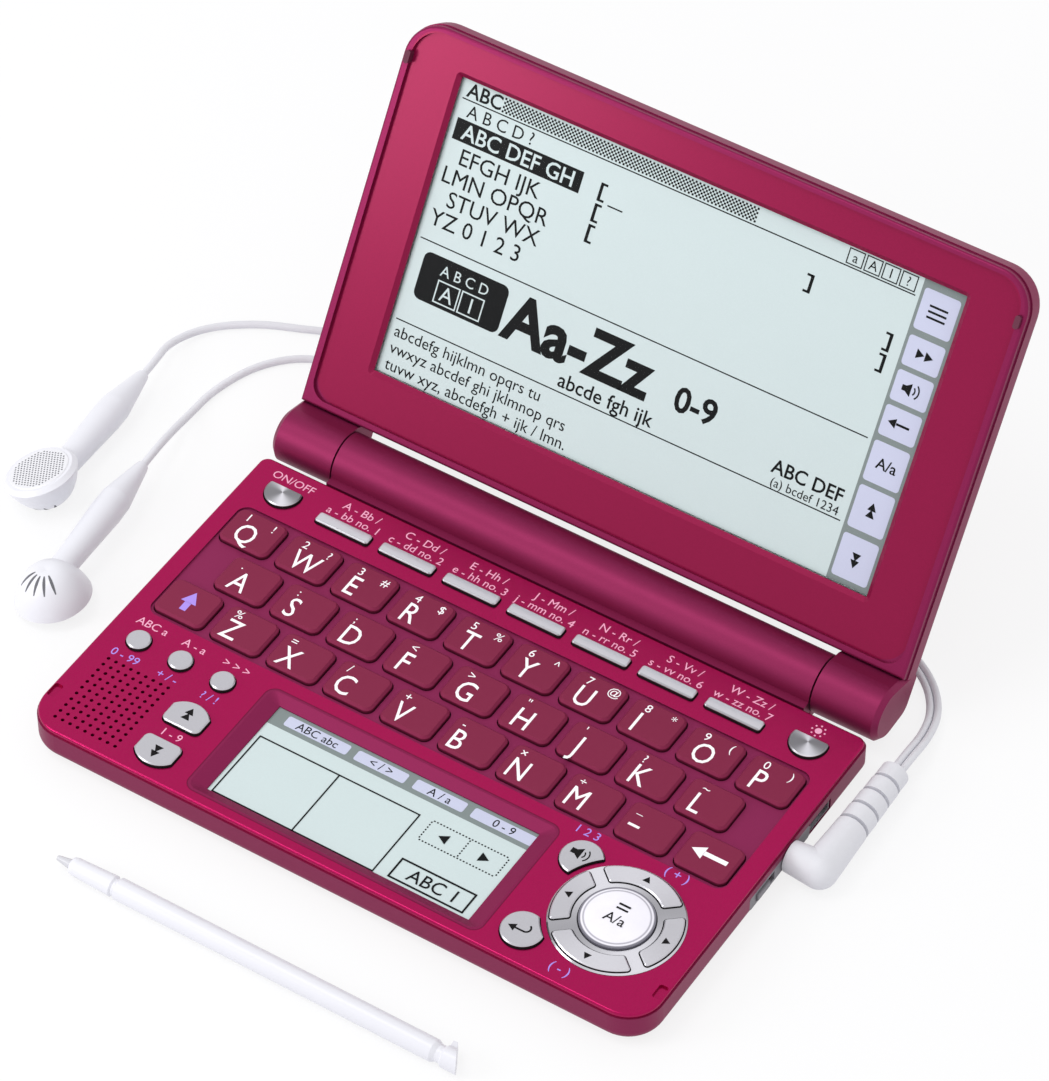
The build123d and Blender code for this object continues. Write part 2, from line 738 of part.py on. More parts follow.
with BuildPart() as output_switch:
    knob_reach = side_wall + mat_gap + switch_stand
    with Locations((half_width + switch_stand - knob_reach / 2, knob_y, jack_height)):
        Box(knob_reach, *switch_knob)
    grips = output_switch.faces().sort_by(Axis.X)[-1].edges()
    fillet(grips, 0.25)
    with Locations((wall_inside - mat_gap - switch_flange[0] / 2, knob_y, jack_height)):
        Box(switch_flange[0], switch_knob[0] + 2 * switch_flange[1], switch_knob[1] + 2 * switch_flange[2])
save(output_switch.part, "output_switch")

# --------------------------------------------------------------------------- hinge barrel
def side_plane(x):
    """Section plane across the hinge at x: local x points back and local y up."""
    return Plane(origin=(x, hinge_y, hinge_height), x_dir=(0, 1, 0), z_dir=(1, 0, 0))


def lid_plane(x):
    """Section plane across the hinge at x: local x runs up the open lid and local y out of its face."""
    return Plane(origin=(x, hinge_y, hinge_height), x_dir=(0, cos(phi), sin(phi)), z_dir=(1, 0, 0))


def wedge(first, last, reach):
    """Pie slice between two angles, for cutting rings."""
    with BuildSketch() as slice_plan:
        with BuildLine():
            middle = radians((first + last) / 2)
            start = (reach * cos(radians(first)), reach * sin(radians(first)))
            stop = (reach * cos(radians(last)), reach * sin(radians(last)))
            Polyline((0, 0), start, (2 * reach * cos(middle), 2 * reach * sin(middle)), stop, (0, 0))
        make_face()
    return slice_plan.sketch


web_top = deck - web_sink - hinge_height
web_end = rear_setback - web_gap
with BuildPart() as hinge_barrel:
    with BuildSketch(side_plane(-cell_bay)):
        Circle(barrel_radius)
        with Locations((-(web_end + bay_web_start) / 2, (web_top + web_low) / 2)):
            Rectangle(web_end - bay_web_start, web_top - web_low)
        Circle(bore_radius, mode=Mode.SUBTRACT)
        add(wedge(door_from, door_to, 3 * barrel_radius), mode=Mode.SUBTRACT)
    extrude(amount=2 * cell_bay)
    # solid ends that hold the pins, each on a moulded heel
    for side in (-1, 1):
        with BuildSketch(side_plane(side * cell_bay)):
            Circle(barrel_radius)
            with Locations((-(web_end + end_web_start) / 2, (web_top + web_low) / 2)):
                Rectangle(web_end - end_web_start, web_top - web_low)
        extrude(amount=side * (barrel_half - cell_bay))
        with Locations((side * (barrel_half + cell_bay) / 2, hinge_y, (hinge_height + foot_height) / 2)):
            Box(*heel_size, hinge_height - foot_height)
        with Locations((side * (barrel_half - pin_grip / 2 + 1), hinge_y, hinge_height)):
            Cylinder(pin_radius + pin_seat, pin_grip + 2, rotation=(0, 90, 0), mode=Mode.SUBTRACT)
    # tongue that goes in between the case and the deck
    with Locations((0, (tongue_end + rear_y + tongue_gap) / 2, (tongue_bottom + case_rim) / 2)):
        Box(2 * tongue_half, tongue_depth + tongue_gap, case_rim - tongue_bottom)
save(hinge_barrel.part, "hinge_barrel")

with BuildPart() as battery_cover:
    with BuildSketch(side_plane(-cell_bay + door_end_gap)):
        Circle(barrel_radius)
        Circle(bore_radius + door_skin_gap, mode=Mode.SUBTRACT)
        add(wedge(door_from + door_gap, door_to - door_gap, 3 * barrel_radius), mode=Mode.INTERSECT)
    extrude(amount=2 * (cell_bay - door_end_gap))
    # thumb grooves across the door
    angle = radians((door_from + door_to) / 2)
    for step in range(groove_count):
        groove_x = cell_bay - groove_start - groove_pitch * step
        groove_y = hinge_y + barrel_radius * cos(angle)
        with Locations((groove_x, groove_y, hinge_height + barrel_radius * sin(angle))):
            Cylinder(groove_radius, 8, rotation=(degrees(angle), 0, 0), mode=Mode.SUBTRACT)
save(battery_cover.part, "battery_cover")

with BuildPart() as batteries:
    for start in (-cell_length - cell_gap / 2, cell_gap / 2):
        with BuildSketch(side_plane(start)):
            Circle(cell_radius)
        extrude(amount=cell_length - cell_nub)
        with BuildSketch(side_plane(start + cell_length - cell_nub)):
            Circle(nub_radius)
        extrude(amount=cell_nub)
save(batteries.part, "batteries")

with BuildPart() as battery_contacts:
    for side in (-1, 1):
        with BuildSketch(side_plane(side * (cell_length + cell_gap))):
            Circle(contact_tip)
        with BuildSketch(side_plane(side * (cell_bay - plate_thickness))):
            Circle(contact_root)
        loft()
        with BuildSketch(side_plane(side * (cell_bay - plate_thickness))):
            Circle(contact_plate)
        extrude(amount=side * plate_thickness)
save(battery_contacts.part, "battery_contacts")

with BuildPart() as hinge_pins:
    for side in (-1, 1):
        with BuildSketch(side_plane(side * (barrel_half - pin_grip))):
            Circle(pin_radius)
        extrude(amount=side * (2 * pin_grip + barrel_gap))
save(hinge_pins.part, "hinge_pins")

# --------------------------------------------------------------------------- feet and screws
with BuildPart() as rubber_feet:
    for side in (-1, 1):
        with BuildSketch(Plane.XY):
            with Locations(at(side * foot_place[0], foot_place[1])):
                Circle(foot_radius)
        extrude(amount=foot_height + foot_sink)
        with BuildSketch(Plane.XY):
            with Locations((side * (barrel_half + cell_bay) / 2, hinge_y)):
                RectangleRounded(heel_size[0] - 2 * heel_pad_inset, heel_size[1] - 2 * heel_pad_inset, 1.2)
        extrude(amount=foot_height)
    chamfer(rubber_feet.faces().filter_by(lambda face: abs(face.center().Z) < 1e-4).edges(), 0.3)
save(rubber_feet.part, "rubber_feet")

with BuildPart() as case_screws:
    for x, line in screw_places:
        for side in (-1, 1):
            with BuildSketch(Plane.XY.offset(case_bottom + head_depth)):
                with Locations(at(side * x, line)):
                    Circle(screw_head)
            extrude(amount=-head_depth * 0.9)
            with BuildSketch(Plane.XY.offset(case_bottom + head_depth)):
                with Locations(at(side * x, line)):
                    Circle(screw_radius)
            extrude(amount=case_height - head_depth - 0.6)
save(case_screws.part, "case_screws")

# --------------------------------------------------------------------------- lid
tail_place = (0.9, -4.9)            # the lid's round lower back corner: centre and radius
tail_radius = lid_thickness + face_offset + tail_place[1]


def make_knuckle(side):
    """Rounded lug from the lid round the hinge axis, at one end of the barrel."""
    with BuildPart() as knuckle:
        with BuildSketch(lid_plane(side * knuckle_start)):
            Circle(barrel_radius)
            with Locations(tail_place):
                Circle(tail_radius)
            with Locations((lid_start - 0.5, (lid_front + lid_back) / 2)):
                Rectangle(1.0, lid_thickness)
            make_hull()
        extrude(amount=side * knuckle_length)
        end_face = knuckle.faces().sort_by(Axis.X)[-1 if side > 0 else 0]
        rounded = end_face.edges().sort_by(Axis(lid_face.origin, lid_face.y_dir))[:-1]
        chamfer(rounded, 1.1)
    return knuckle.part


with BuildPart() as lid_back_cover:
    with BuildSketch(lid_face.offset(lid_back)):
        add(lid_outline())
    extrude(amount=lid_thickness - frame_thickness)
    far_back = lid_back_cover.faces().sort_by(Axis((0, 0, 0), lid_face.z_dir))[0]
    fillet(far_back.edges().sort_by(Axis((0, 0, 0), lid_face.y_dir))[1:], lid_back_round)
    add(make_knuckle(-1))
    add(make_knuckle(1))
    with BuildSketch(lid_face.offset(lid_back + back_wall)):
        add(lid_outline(lid_wall))
    extrude(amount=lid_thickness, mode=Mode.SUBTRACT)
    for side in (-1, 1):
        with Locations((side * (knuckle_start + (pin_grip + pin_end_play) / 2), hinge_y, hinge_height)):
            Cylinder(pin_radius + pin_fit, pin_grip + pin_end_play, rotation=(0, 90, 0), mode=Mode.SUBTRACT)
save(lid_back_cover.part, "lid_back_cover")

with BuildPart() as lid_front_frame:
    with BuildSketch(lid_face.offset(lid_front - frame_thickness)):
        add(lid_outline(cover_inset))
    extrude(amount=frame_thickness)
    rim_face = lid_front_frame.faces().sort_by(Axis((0, 0, 0), lid_face.z_dir))[-1]
    fillet(rim_face.edges(), 0.6)
    with BuildSketch(lid_face.offset(lid_front)) as panel_plan:
        with Locations((0, (panel_low + panel_high) / 2)):
            Rectangle(case_width - 2 * panel_side, panel_high - panel_low)
        fillet(panel_plan.vertices().group_by(Axis.Y)[-1], panel_corner)
        fillet(panel_plan.vertices().group_by(Axis.Y)[0], panel_foot_corner)
    extrude(amount=-panel_depth, mode=Mode.SUBTRACT)
    with BuildSketch(lid_face.offset(lid_front - panel_depth)):
        with Locations((0, window_mid)):
            RectangleRounded(window_width + 2 * window_bevel, window_height + 2 * window_bevel, 1.2)
    with BuildSketch(lid_face.offset(lid_front - frame_thickness + pad_lip)):
        with Locations((0, window_mid)):
            RectangleRounded(window_width, window_height, 0.4)
    loft(mode=Mode.SUBTRACT)
    with BuildSketch(lid_face.offset(lid_front)):
        with Locations((0, window_mid)):
            Rectangle(window_width, window_height)
    extrude(amount=-2 * frame_thickness, mode=Mode.SUBTRACT)
    for side in (-1, 1):
        with BuildSketch(lid_face.offset(lid_front)):
            with Locations((side * (half_width - bumper_side), bumper_line)):
                RectangleRounded(*bumper_size, 0.5)
        extrude(amount=-panel_depth, mode=Mode.SUBTRACT)
save(lid_front_frame.part, "lid_front_frame")

with BuildPart() as touch_panel:
    with BuildSketch(lid_face.offset(glass_top)):
        with Locations((0, window_mid)):
            Rectangle(window_width + 2 * glass_lap, window_height + 2 * glass_lap)
    extrude(amount=-glass_thickness)
save(touch_panel.part, "touch_panel")

with BuildPart() as main_display:
    with BuildSketch(lid_face.offset(glass_top - glass_thickness)):
        with Locations((0, window_mid)):
            Rectangle(window_width + glass_lap, window_height + glass_lap)
    extrude(amount=-display_thickness)
save(main_display.part, "main_display")

with BuildPart() as lid_bumpers:
    for side in (-1, 1):
        with BuildSketch(lid_face.offset(lid_front - panel_depth)):
            with Locations((side * (half_width - bumper_side), bumper_line)):
                RectangleRounded(*bumper_size, 0.5)
        extrude(amount=panel_depth + bumper_height)
save(lid_bumpers.part, "lid_bumpers")

# --------------------------------------------------------------------------- stylus
stylus_y = front_y - stylus_stand_off
tip_x = stylus_shift - stylus_length / 2
tail_x = stylus_shift + stylus_length / 2
with BuildPart() as stylus:
    with BuildSketch(Plane.XY) as stylus_profile:
        with BuildLine():
            Polyline((tip_x, 0), (tip_x, 0.55), (tip_x + 3.6, 1.15), (tip_x + 3.6, 1.75), (tip_x + 4.4, 1.95),
                     (tip_x + 13.6, stylus_radius - 0.15), (tip_x + 14.0, stylus_radius - 0.5),
                     (tip_x + 14.5, stylus_radius - 0.5), (tip_x + 14.9, stylus_radius),
                     (tail_x - 6.2, stylus_radius), (tail_x - 5.2, stylus_radius - 0.5),
                     (tail_x - 4.2, stylus_radius - 0.5), (tail_x - 3.6, stylus_radius),
                     (tail_x, stylus_radius), (tail_x, 0), (tip_x, 0))
        make_face()
    revolve(axis=Axis.X)
    # nail catch on the back of the head
    with BuildSketch(Plane.XY.offset(-1.2)):
        with BuildLine():
            Polyline((tail_x - 3.6, 0), (tail_x - 3.9, stylus_radius + 0.9),
                     (tail_x - 2.4, stylus_radius + 1.1), (tail_x, 0), (tail_x - 3.6, 0))
        make_face()
    extrude(amount=2.4)
    with BuildSketch(Plane.XY):
        with BuildLine():
            Polyline((tail_x - 3.2, stylus_radius + 1.5), (tail_x + 0.2, -stylus_radius - 0.1),
                     (tail_x + 4, -stylus_radius - 0.1), (tail_x + 4, stylus_radius + 1.5),
                     (tail_x - 3.2, stylus_radius + 1.5))
        make_face()
    extrude(amount=2 * stylus_radius, both=True, mode=Mode.SUBTRACT)
save(Pos(0, stylus_y, stylus_radius) * stylus.part, "stylus")

# --------------------------------------------------------------------------- earphones: plug
boot_x = half_width + boot_reach
relief_start = jack_y + boot_leg
relief_end = relief_start + relief_length
with BuildPart() as plug:
    with Locations((half_width + 0.2 - jack_body[0] / 2, jack_y, jack_height)):
        Cylinder(plug_radius, jack_body[0], rotation=(0, 90, 0))
    chamfer(plug.faces().sort_by(Axis.X)[0].edges(), 0.6)
save(plug.part, "plug")

with BuildPart() as plug_boot:
    with BuildSketch(Plane(origin=(half_width + 0.2, jack_y, jack_height), z_dir=(1, 0, 0))):
        Circle(boot_radius * 0.86)
    with BuildSketch(Plane(origin=(boot_x, jack_y, jack_height), z_dir=(1, 0, 0))):
        Circle(boot_radius)
    loft()
    with Locations((boot_x, jack_y, jack_height)):
        Sphere(boot_radius)
    with BuildSketch(Plane(origin=(boot_x, jack_y, jack_height), z_dir=(0, 1, 0))):
        Circle(boot_radius)
    with BuildSketch(Plane(origin=(boot_x, relief_start, jack_height), z_dir=(0, 1, 0))):
        Circle(boot_radius * 0.88)
    loft()
    # notched strain relief: barrels on a flexible core
    ring_step = relief_length / relief_rings
    for ring in range(relief_rings):
        ring_start = relief_start + ring * ring_step
        with BuildSketch(Plane(origin=(boot_x, ring_start, jack_height), z_dir=(0, 1, 0))):
            Circle(trunk_diameter / 2 + 0.5)
        extrude(amount=ring_step)
        with BuildSketch(Plane(origin=(boot_x, ring_start + 0.9, jack_height), z_dir=(0, 1, 0))):
            Circle(boot_radius * (0.86 - 0.03 * ring))
        extrude(amount=ring_step - 0.9)
save(plug_boot.part, "plug_boot")

# --------------------------------------------------------------------------- earphones: cords
coil_centre = (15.0, 82.0)
coil_radius = 19.0          # middle of its turns
coil_spread = 5.2           # radial, each side of the middle
coil_turn = 22.6            # the outermost turn, where the cord comes in and leaves
coil_reach = 16.0           # the straight leads at each side of the coil
coil_layers = (1.7, 4.7)    # height of the lead that comes in and of the one that leaves
coil_height = 6.2
coil_line = coil_centre[1] - coil_turn
splitter_start = (-28.0, 60.4, 1.8)
splitter_length = 12.0
splitter_size = (5.0, 3.4)
splitter_end = splitter_start[0] - splitter_length
branch_offset = 1.3
lead_in = (coil_centre[0] + coil_reach, coil_line, coil_layers[0])
lead_out = (coil_centre[0] - coil_reach, coil_line, coil_layers[1])

trunk_route = [(boot_x, relief_end, jack_height), (boot_x, 27.5, jack_height), (80.6, 34.5, 3.0),
               (78.6, 42.6, 1.8), (73.4, 49.6, 1.7), (65.0, 54.6, 1.7), (54.0, 57.9, 1.7),
               (41.0, 59.4, 1.7), lead_in]
trunk_tail = [lead_out, (-6.0, coil_line, coil_layers[1]), (-13.0, 59.6, 3.2), (-21.0, 60.4, 1.8),
              splitter_start]
upper_route = [(splitter_end, splitter_start[1] + branch_offset, 1.8), (-45.0, 61.7, 1.8), (-52.0, 64.0, 1.0),
               (-57.5, 71.0, 0.95), (-57.0, 82.0, 0.95), (-53.5, 92.0, 0.95), (-59.0, 101.5, 0.95),
               (-70.0, 101.5, 0.95), (-76.5, 92.0, 0.95), (-76.5, 80.0, 0.95), (-81.5, 70.5, 0.95),
               (-91.5, 65.6, 0.95), (-102.0, 61.4, 0.95), (-111.0, 54.0, 1.2), (-114.2, 44.5, 2.6),
               (-112.25, 37.0, 4.6), (-112.0, 32.0, 4.6)]
lower_route = [(splitter_end, splitter_start[1] - branch_offset, 1.8), (-45.0, 59.1, 1.8), (-52.0, 57.0, 1.0),
               (-60.0, 54.6, 0.95), (-69.0, 56.6, 0.95), (-78.0, 60.6, 0.95), (-87.5, 58.6, 0.95),
               (-95.2, 50.6, 0.95), (-98.8, 39.0, 1.0), (-98.6, 30.0, 1.5), (-97.4, 22.0, 4.0),
               (-96.1, 14.8, 6.0), (-95.6, 8.8, 6.0)]


def tube_path(route, name):
    """Straight runs of a cord joined by arcs as large as the runs allow."""
    points = [Vector(*point) for point in route]
    radii = []
    for before, corner, after in zip(points, points[1:], points[2:]):
        turn = radians((corner - before).get_angle(after - corner))
        radii.append(0.45 * min((corner - before).length, (after - corner).length) / tan(turn / 2))
    print(name, "arc radii", [round(radius, 1) for radius in radii])
    return FilletPolyline(*points, radius=radii)


def cord_tube(routes, diameter, name):
    with BuildPart() as cord:
        for route in routes:
            with BuildLine() as path:
                run = tube_path(route, name)
            with BuildSketch(Plane(origin=run @ 0, z_dir=run % 0)):
                Circle(diameter / 2)
            sweep(path=path.line)
            print(name, "length", round(run.length, 1))
    print(name, "volume", round(cord.part.volume, 1))
    save(cord.part, name)


cord_tube([trunk_route, trunk_tail], trunk_diameter, "cord_trunk")
cord_tube([upper_route], branch_diameter, "cord_left")
cord_tube([lower_route], branch_diameter, "cord_right")

with BuildPart() as cord_coil:
    with BuildSketch(Plane.XY.offset(0.1)):
        with Locations(coil_centre):
            Circle(coil_radius + coil_spread)
            Circle(coil_radius - coil_spread, mode=Mode.SUBTRACT)
    extrude(amount=coil_height)
    fillet(cord_coil.edges(), 1.4)
    for side, height in zip((1, -1), coil_layers):
        with BuildSketch(Plane(origin=(coil_centre[0], coil_line, height), z_dir=(side, 0, 0))):
            Circle(trunk_diameter / 2)
        extrude(amount=coil_reach)
save(cord_coil.part, "cord_coil")

with BuildPart() as cord_splitter:
    with Locations((splitter_start[0] - splitter_length / 2, splitter_start[1], splitter_start[2])):
        Box(splitter_length, *splitter_size)
    fillet(cord_splitter.edges().filter_by(Axis.X), 1.2)
    chamfer(cord_splitter.faces().sort_by(Axis.X)[-1].edges(), 0.5)
save(cord_splitter.part, "cord_splitter")

# --------------------------------------------------------------------------- earphones: earbuds
def bud_frame(route, roll):
    """Frame on the cord's end: +Y along the stem, away from the head, and +Z out of the grille."""
    end = Vector(*route[-1])
    along = (Vector(*route[-2]) - end).normalized()
    outward = Vector(0, 0, 1).rotate(Axis((0, 0, 0), along), roll)
    return Plane(origin=end, x_dir=along.cross(outward), z_dir=outward)


def bud_parts(frame):
    """Housing of one earbud, a bowl with a stem across its back, and the grille in its face."""
    with BuildPart() as bud:
        with BuildSketch(Plane.XZ):
            with BuildLine():
                Polyline((0, -bowl_depth), (0, 0), (head_radius - rim_depth, 0), (head_radius, -rim_depth))
                Spline((head_radius, -rim_depth), (head_radius - 1.3, -bowl_depth / 2),
                       (bowl_end, -bowl_depth + 0.4), (0, -bowl_depth))
            make_face()
        revolve(axis=Axis.Z)
        with BuildSketch(Plane.XY.offset(-stem_depth)):
            with BuildLine():
                Polyline((0, 0), (stem_radius, 0), (stem_radius, head_radius),
                         (stem_swell, stem_swell_at - 2), (stem_swell - 0.1, stem_swell_at + 2),
                         (stem_end + 0.2, stem_length - 0.8), (stem_end, stem_length), (0, stem_length), (0, 0))
            make_face()
        revolve(axis=Axis((0, 0, -stem_depth), (0, 1, 0)))
        with BuildSketch(Plane.XY.offset(-grille_seat)):
            Circle(grille_radius)
        extrude(amount=2 * grille_seat, mode=Mode.SUBTRACT)
    with BuildPart() as grille:
        with BuildSketch(Plane.XY.offset(-grille_seat)):
            Circle(grille_radius)
        extrude(amount=grille_seat + 0.2)
        chamfer(grille.faces().sort_by(Axis.Z)[-1].edges(), 0.2)
    seat = frame.location * Pos(0, -stem_length, stem_depth)
    return seat * bud.part, seat * grille.part


left_bud, left_grille = bud_parts(bud_frame(upper_route, -20.0))
right_bud, right_grille = bud_parts(bud_frame(lower_route, 170.0))
print("earbuds lowest", left_bud.bounding_box().min.Z, right_bud.bounding_box().min.Z)
save(left_bud, "earbud_left")
save(right_bud, "earbud_right")
save(Compound([left_grille, right_grille]), "earbud_grilles")
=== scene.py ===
"""Dressing of an electronic dictionary: finishes, legends, screens, earphones and the studio.

Metres in Blender; sizes below are in millimetres where their name or comment says so.
The lid's own plane has U across the keyboard, V from the hinge up the open lid, W out of its face.
"""

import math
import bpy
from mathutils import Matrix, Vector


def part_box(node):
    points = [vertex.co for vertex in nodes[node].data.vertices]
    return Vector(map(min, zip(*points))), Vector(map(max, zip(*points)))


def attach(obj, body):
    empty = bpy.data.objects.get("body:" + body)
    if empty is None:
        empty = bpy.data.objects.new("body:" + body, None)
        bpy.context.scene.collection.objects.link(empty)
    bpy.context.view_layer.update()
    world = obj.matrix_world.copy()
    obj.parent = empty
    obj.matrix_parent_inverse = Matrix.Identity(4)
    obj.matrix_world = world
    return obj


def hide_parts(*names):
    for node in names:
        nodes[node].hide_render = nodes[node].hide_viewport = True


bl_info = {
    "name": "Electronic Dictionary Dressing",
    "version": (1, 0, 0),
    "blender": (4, 5, 0),
    "location": "3D View > Sidebar > Dictionary",
    "description": "Finishes, legends, screens and earphones of a clamshell dictionary",
    "category": "Object",
}

import bmesh
import bpy
from bpy.props import FloatProperty, FloatVectorProperty, IntProperty, PointerProperty
from mathutils import Matrix, Vector
from mathutils.bvhtree import BVHTree

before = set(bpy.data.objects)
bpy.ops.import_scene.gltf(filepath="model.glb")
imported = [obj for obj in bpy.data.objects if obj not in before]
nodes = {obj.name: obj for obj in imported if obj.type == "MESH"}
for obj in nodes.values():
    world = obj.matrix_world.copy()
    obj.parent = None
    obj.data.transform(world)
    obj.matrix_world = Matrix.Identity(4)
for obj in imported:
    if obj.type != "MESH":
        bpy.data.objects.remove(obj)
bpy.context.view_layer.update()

MM = 0.001
WHITE = (1.0, 1.0, 1.0)

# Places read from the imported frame
deck_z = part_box("lower_case")[1].z / MM + 1.2      # the deck is 1.2 mm above the case's rim
hinge_y = sum(corner.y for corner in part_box("hinge_pins")) / 2 / MM
hinge_z = sum(corner.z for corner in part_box("hinge_pins")) / 2 / MM
lid_slope = math.radians(58.3)

# Outlines of the finishes on the deck and on the lid's face: width and depth, and corner
well_size, well_corner = (139.0, 35.6), 2.6
window_size, window_corner = (70.4, 31.6), 2.4
face_middle, face_size, face_corner = (0.0, 51.28), (144.0, 84.65), 6.0
lower_body_and_painted_shade_rise = 0.56       # how high the plated keys' dark lower body reaches above the deck; on the walls that show above the deck it is painted shade
dome_ring = 6.7         # radii of the painted dark circle and of the painted dark rim of the domed key; the band between them is a painted highlight
dome_rim = 7.25


def tint(red, green, blue):
    """A screen colour of 0 to 255 as scene linear."""
    shades = [value / 255 for value in (red, green, blue)]
    return tuple(s / 12.92 if s <= 0.04045 else ((s + 0.055) / 1.055) ** 2.4 for s in shades)


def middle(node):
    """Centre of a CAD node's box, in millimetres."""
    low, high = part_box(node)
    return (low + high) / 2 / MM


def top_of(node):
    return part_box(node)[1].z / MM


# ------------------------------------------------------------------------------------- settings
def colour(name, description, *shade):
    return FloatVectorProperty(name=name, description=description, subtype="COLOR", size=3,
                               min=0, max=1, default=tint(*shade))


def length(name, description, millimetres):
    return FloatProperty(name=name, description=description, default=millimetres * MM,
                         unit="LENGTH", precision=5)


class DICTIONARY_PG_case(bpy.types.PropertyGroup):
    """Colours and grain of the housing."""

    deck: colour("Deck", "Glossy plate of the deck", 162, 14, 78)
    # painted shade: the lid face is the deck's glossy magenta darkened to about two thirds, for the
    # upright lid
    face: colour("Lid face", "Glossy face round the large screen", 136, 12, 63)
    well: colour("Key well", "Matt floor between the letter keys", 136, 40, 84)
    shell: colour("Shell", "Satin paint of the case, lid and barrel", 130, 32, 76)
    key: colour("Letter keys", "Matt caps of the letter keys", 128, 40, 70)
    silver: colour("Silver", "Plated caps of the control keys", 212, 211, 218)
    # the plated keys' black lower body, also used as painted shade on their walls above the deck
    skirt: colour("Key skirt", "Dark sides of the plated keys", 16, 14, 16)
    flake: length("Flake", "Size of the flakes in the paint", 0.12)
    grain: length("Grain", "Size of the fine texture on matt parts", 0.18)


class DICTIONARY_PG_print(bpy.types.PropertyGroup):
    """Printed legends."""

    white: colour("White", "Letters on the keys", 250, 246, 250)
    pink: colour("Pink", "Labels on the deck", 238, 172, 200)
    lilac: colour("Lilac", "Second labels on the deck and keys", 170, 142, 232)
    black: colour("Black", "Marks on the plated keys", 14, 12, 14)
    letter: length("Letter", "Height of a capital on a key", 5.2)
    digit: length("Digit", "Height of the small marks above the letters", 2.0)
    label: length("Label", "Height of the labels on the deck", 1.95)
    ink: length("Ink", "Thickness of a printed mark", 0.03)


class DICTIONARY_PG_screens(bpy.types.PropertyGroup):
    """Both liquid crystal screens and the touch keys beside the large one."""

    panel: colour("Panel", "Bare liquid crystal", 200, 214, 215)
    ink: colour("Ink", "Dark segments", 10, 12, 14)
    strip: colour("Strip", "Printed border round the touch keys", 128, 138, 138)
    touch: colour("Touch keys", "Printed touch keys", 197, 201, 224)
    pixel: length("Pixel", "Check of the dithered band", 0.46)


class DICTIONARY_PG_earphones(bpy.types.PropertyGroup):
    """Earphones and their cords."""

    rubber: colour("Cord", "Smooth elastomer of the cords and the plug's body", 220, 220, 226)
    shell: colour("Housing", "Moulded earbuds and stylus", 222, 222, 229)
    trunk: length("Trunk width", "Width of the twin cord", 3.2)
    branch: length("Branch", "Diameter of each single cord", 1.7)
    coil: length("Coil radius", "Middle of the coil's turns", 19.3)
    sway: length("Coil sway", "How far a turn is from the middle, at most", 3.3)
    turns: IntProperty(name="Turns", description="Turns of the put-away coil", default=6, min=3)
    hole: length("Grille hole", "Radius of a hole in the earbud's grille", 0.2)
    pitch: length("Grille pitch", "Distance between the holes", 0.78)


class DICTIONARY_PG_studio(bpy.types.PropertyGroup):
    """Camera, floor and lights."""

    place: FloatVectorProperty(name="Camera", description="Where the camera stands", size=3,
                               unit="LENGTH", default=(0.4130, -0.6356, 0.8637))
    azimuth: FloatProperty(name="Azimuth", description="Turn of the camera to the object's right",
                           subtype="ANGLE", default=math.radians(32.63))
    elevation: FloatProperty(name="Elevation", description="Tilt of the camera above the horizon",
                             subtype="ANGLE", default=math.radians(47.16))
    focal: FloatProperty(name="Focal length", description="In pixels of the finished picture",
                         default=5592.3)
    rows: IntProperty(name="Picture height", description="In pixels", default=1081)
    sky: FloatProperty(name="Sky", description="Strength of the even light", default=0.9)
    floor: colour("Floor", "Pale table top", 240, 240, 243)


# ------------------------------------------------------------------------------ node expressions
class Wire:
    """A value in a node tree. Python's operators add the Math nodes that work it out."""

    def __init__(self, board, socket):
        self.board = board
        self.socket = socket

    def __add__(self, other):
        return self.board.math("ADD", self, other)

    def __radd__(self, other):
        return self.board.math("ADD", other, self)

    def __sub__(self, other):
        return self.board.math("SUBTRACT", self, other)

    def __rsub__(self, other):
        return self.board.math("SUBTRACT", other, self)

    def __mul__(self, other):
        return self.board.math("MULTIPLY", self, other)

    def __rmul__(self, other):
        return self.board.math("MULTIPLY", other, self)

    def __truediv__(self, other):
        return self.board.math("DIVIDE", self, other)

    def __rtruediv__(self, other):
        return self.board.math("DIVIDE", other, self)

    def __pow__(self, other):
        return self.board.math("POWER", self, other)

    def __neg__(self):
        return self.board.math("MULTIPLY", self, -1.0)

    def __abs__(self):
        return self.board.math("ABSOLUTE", self)


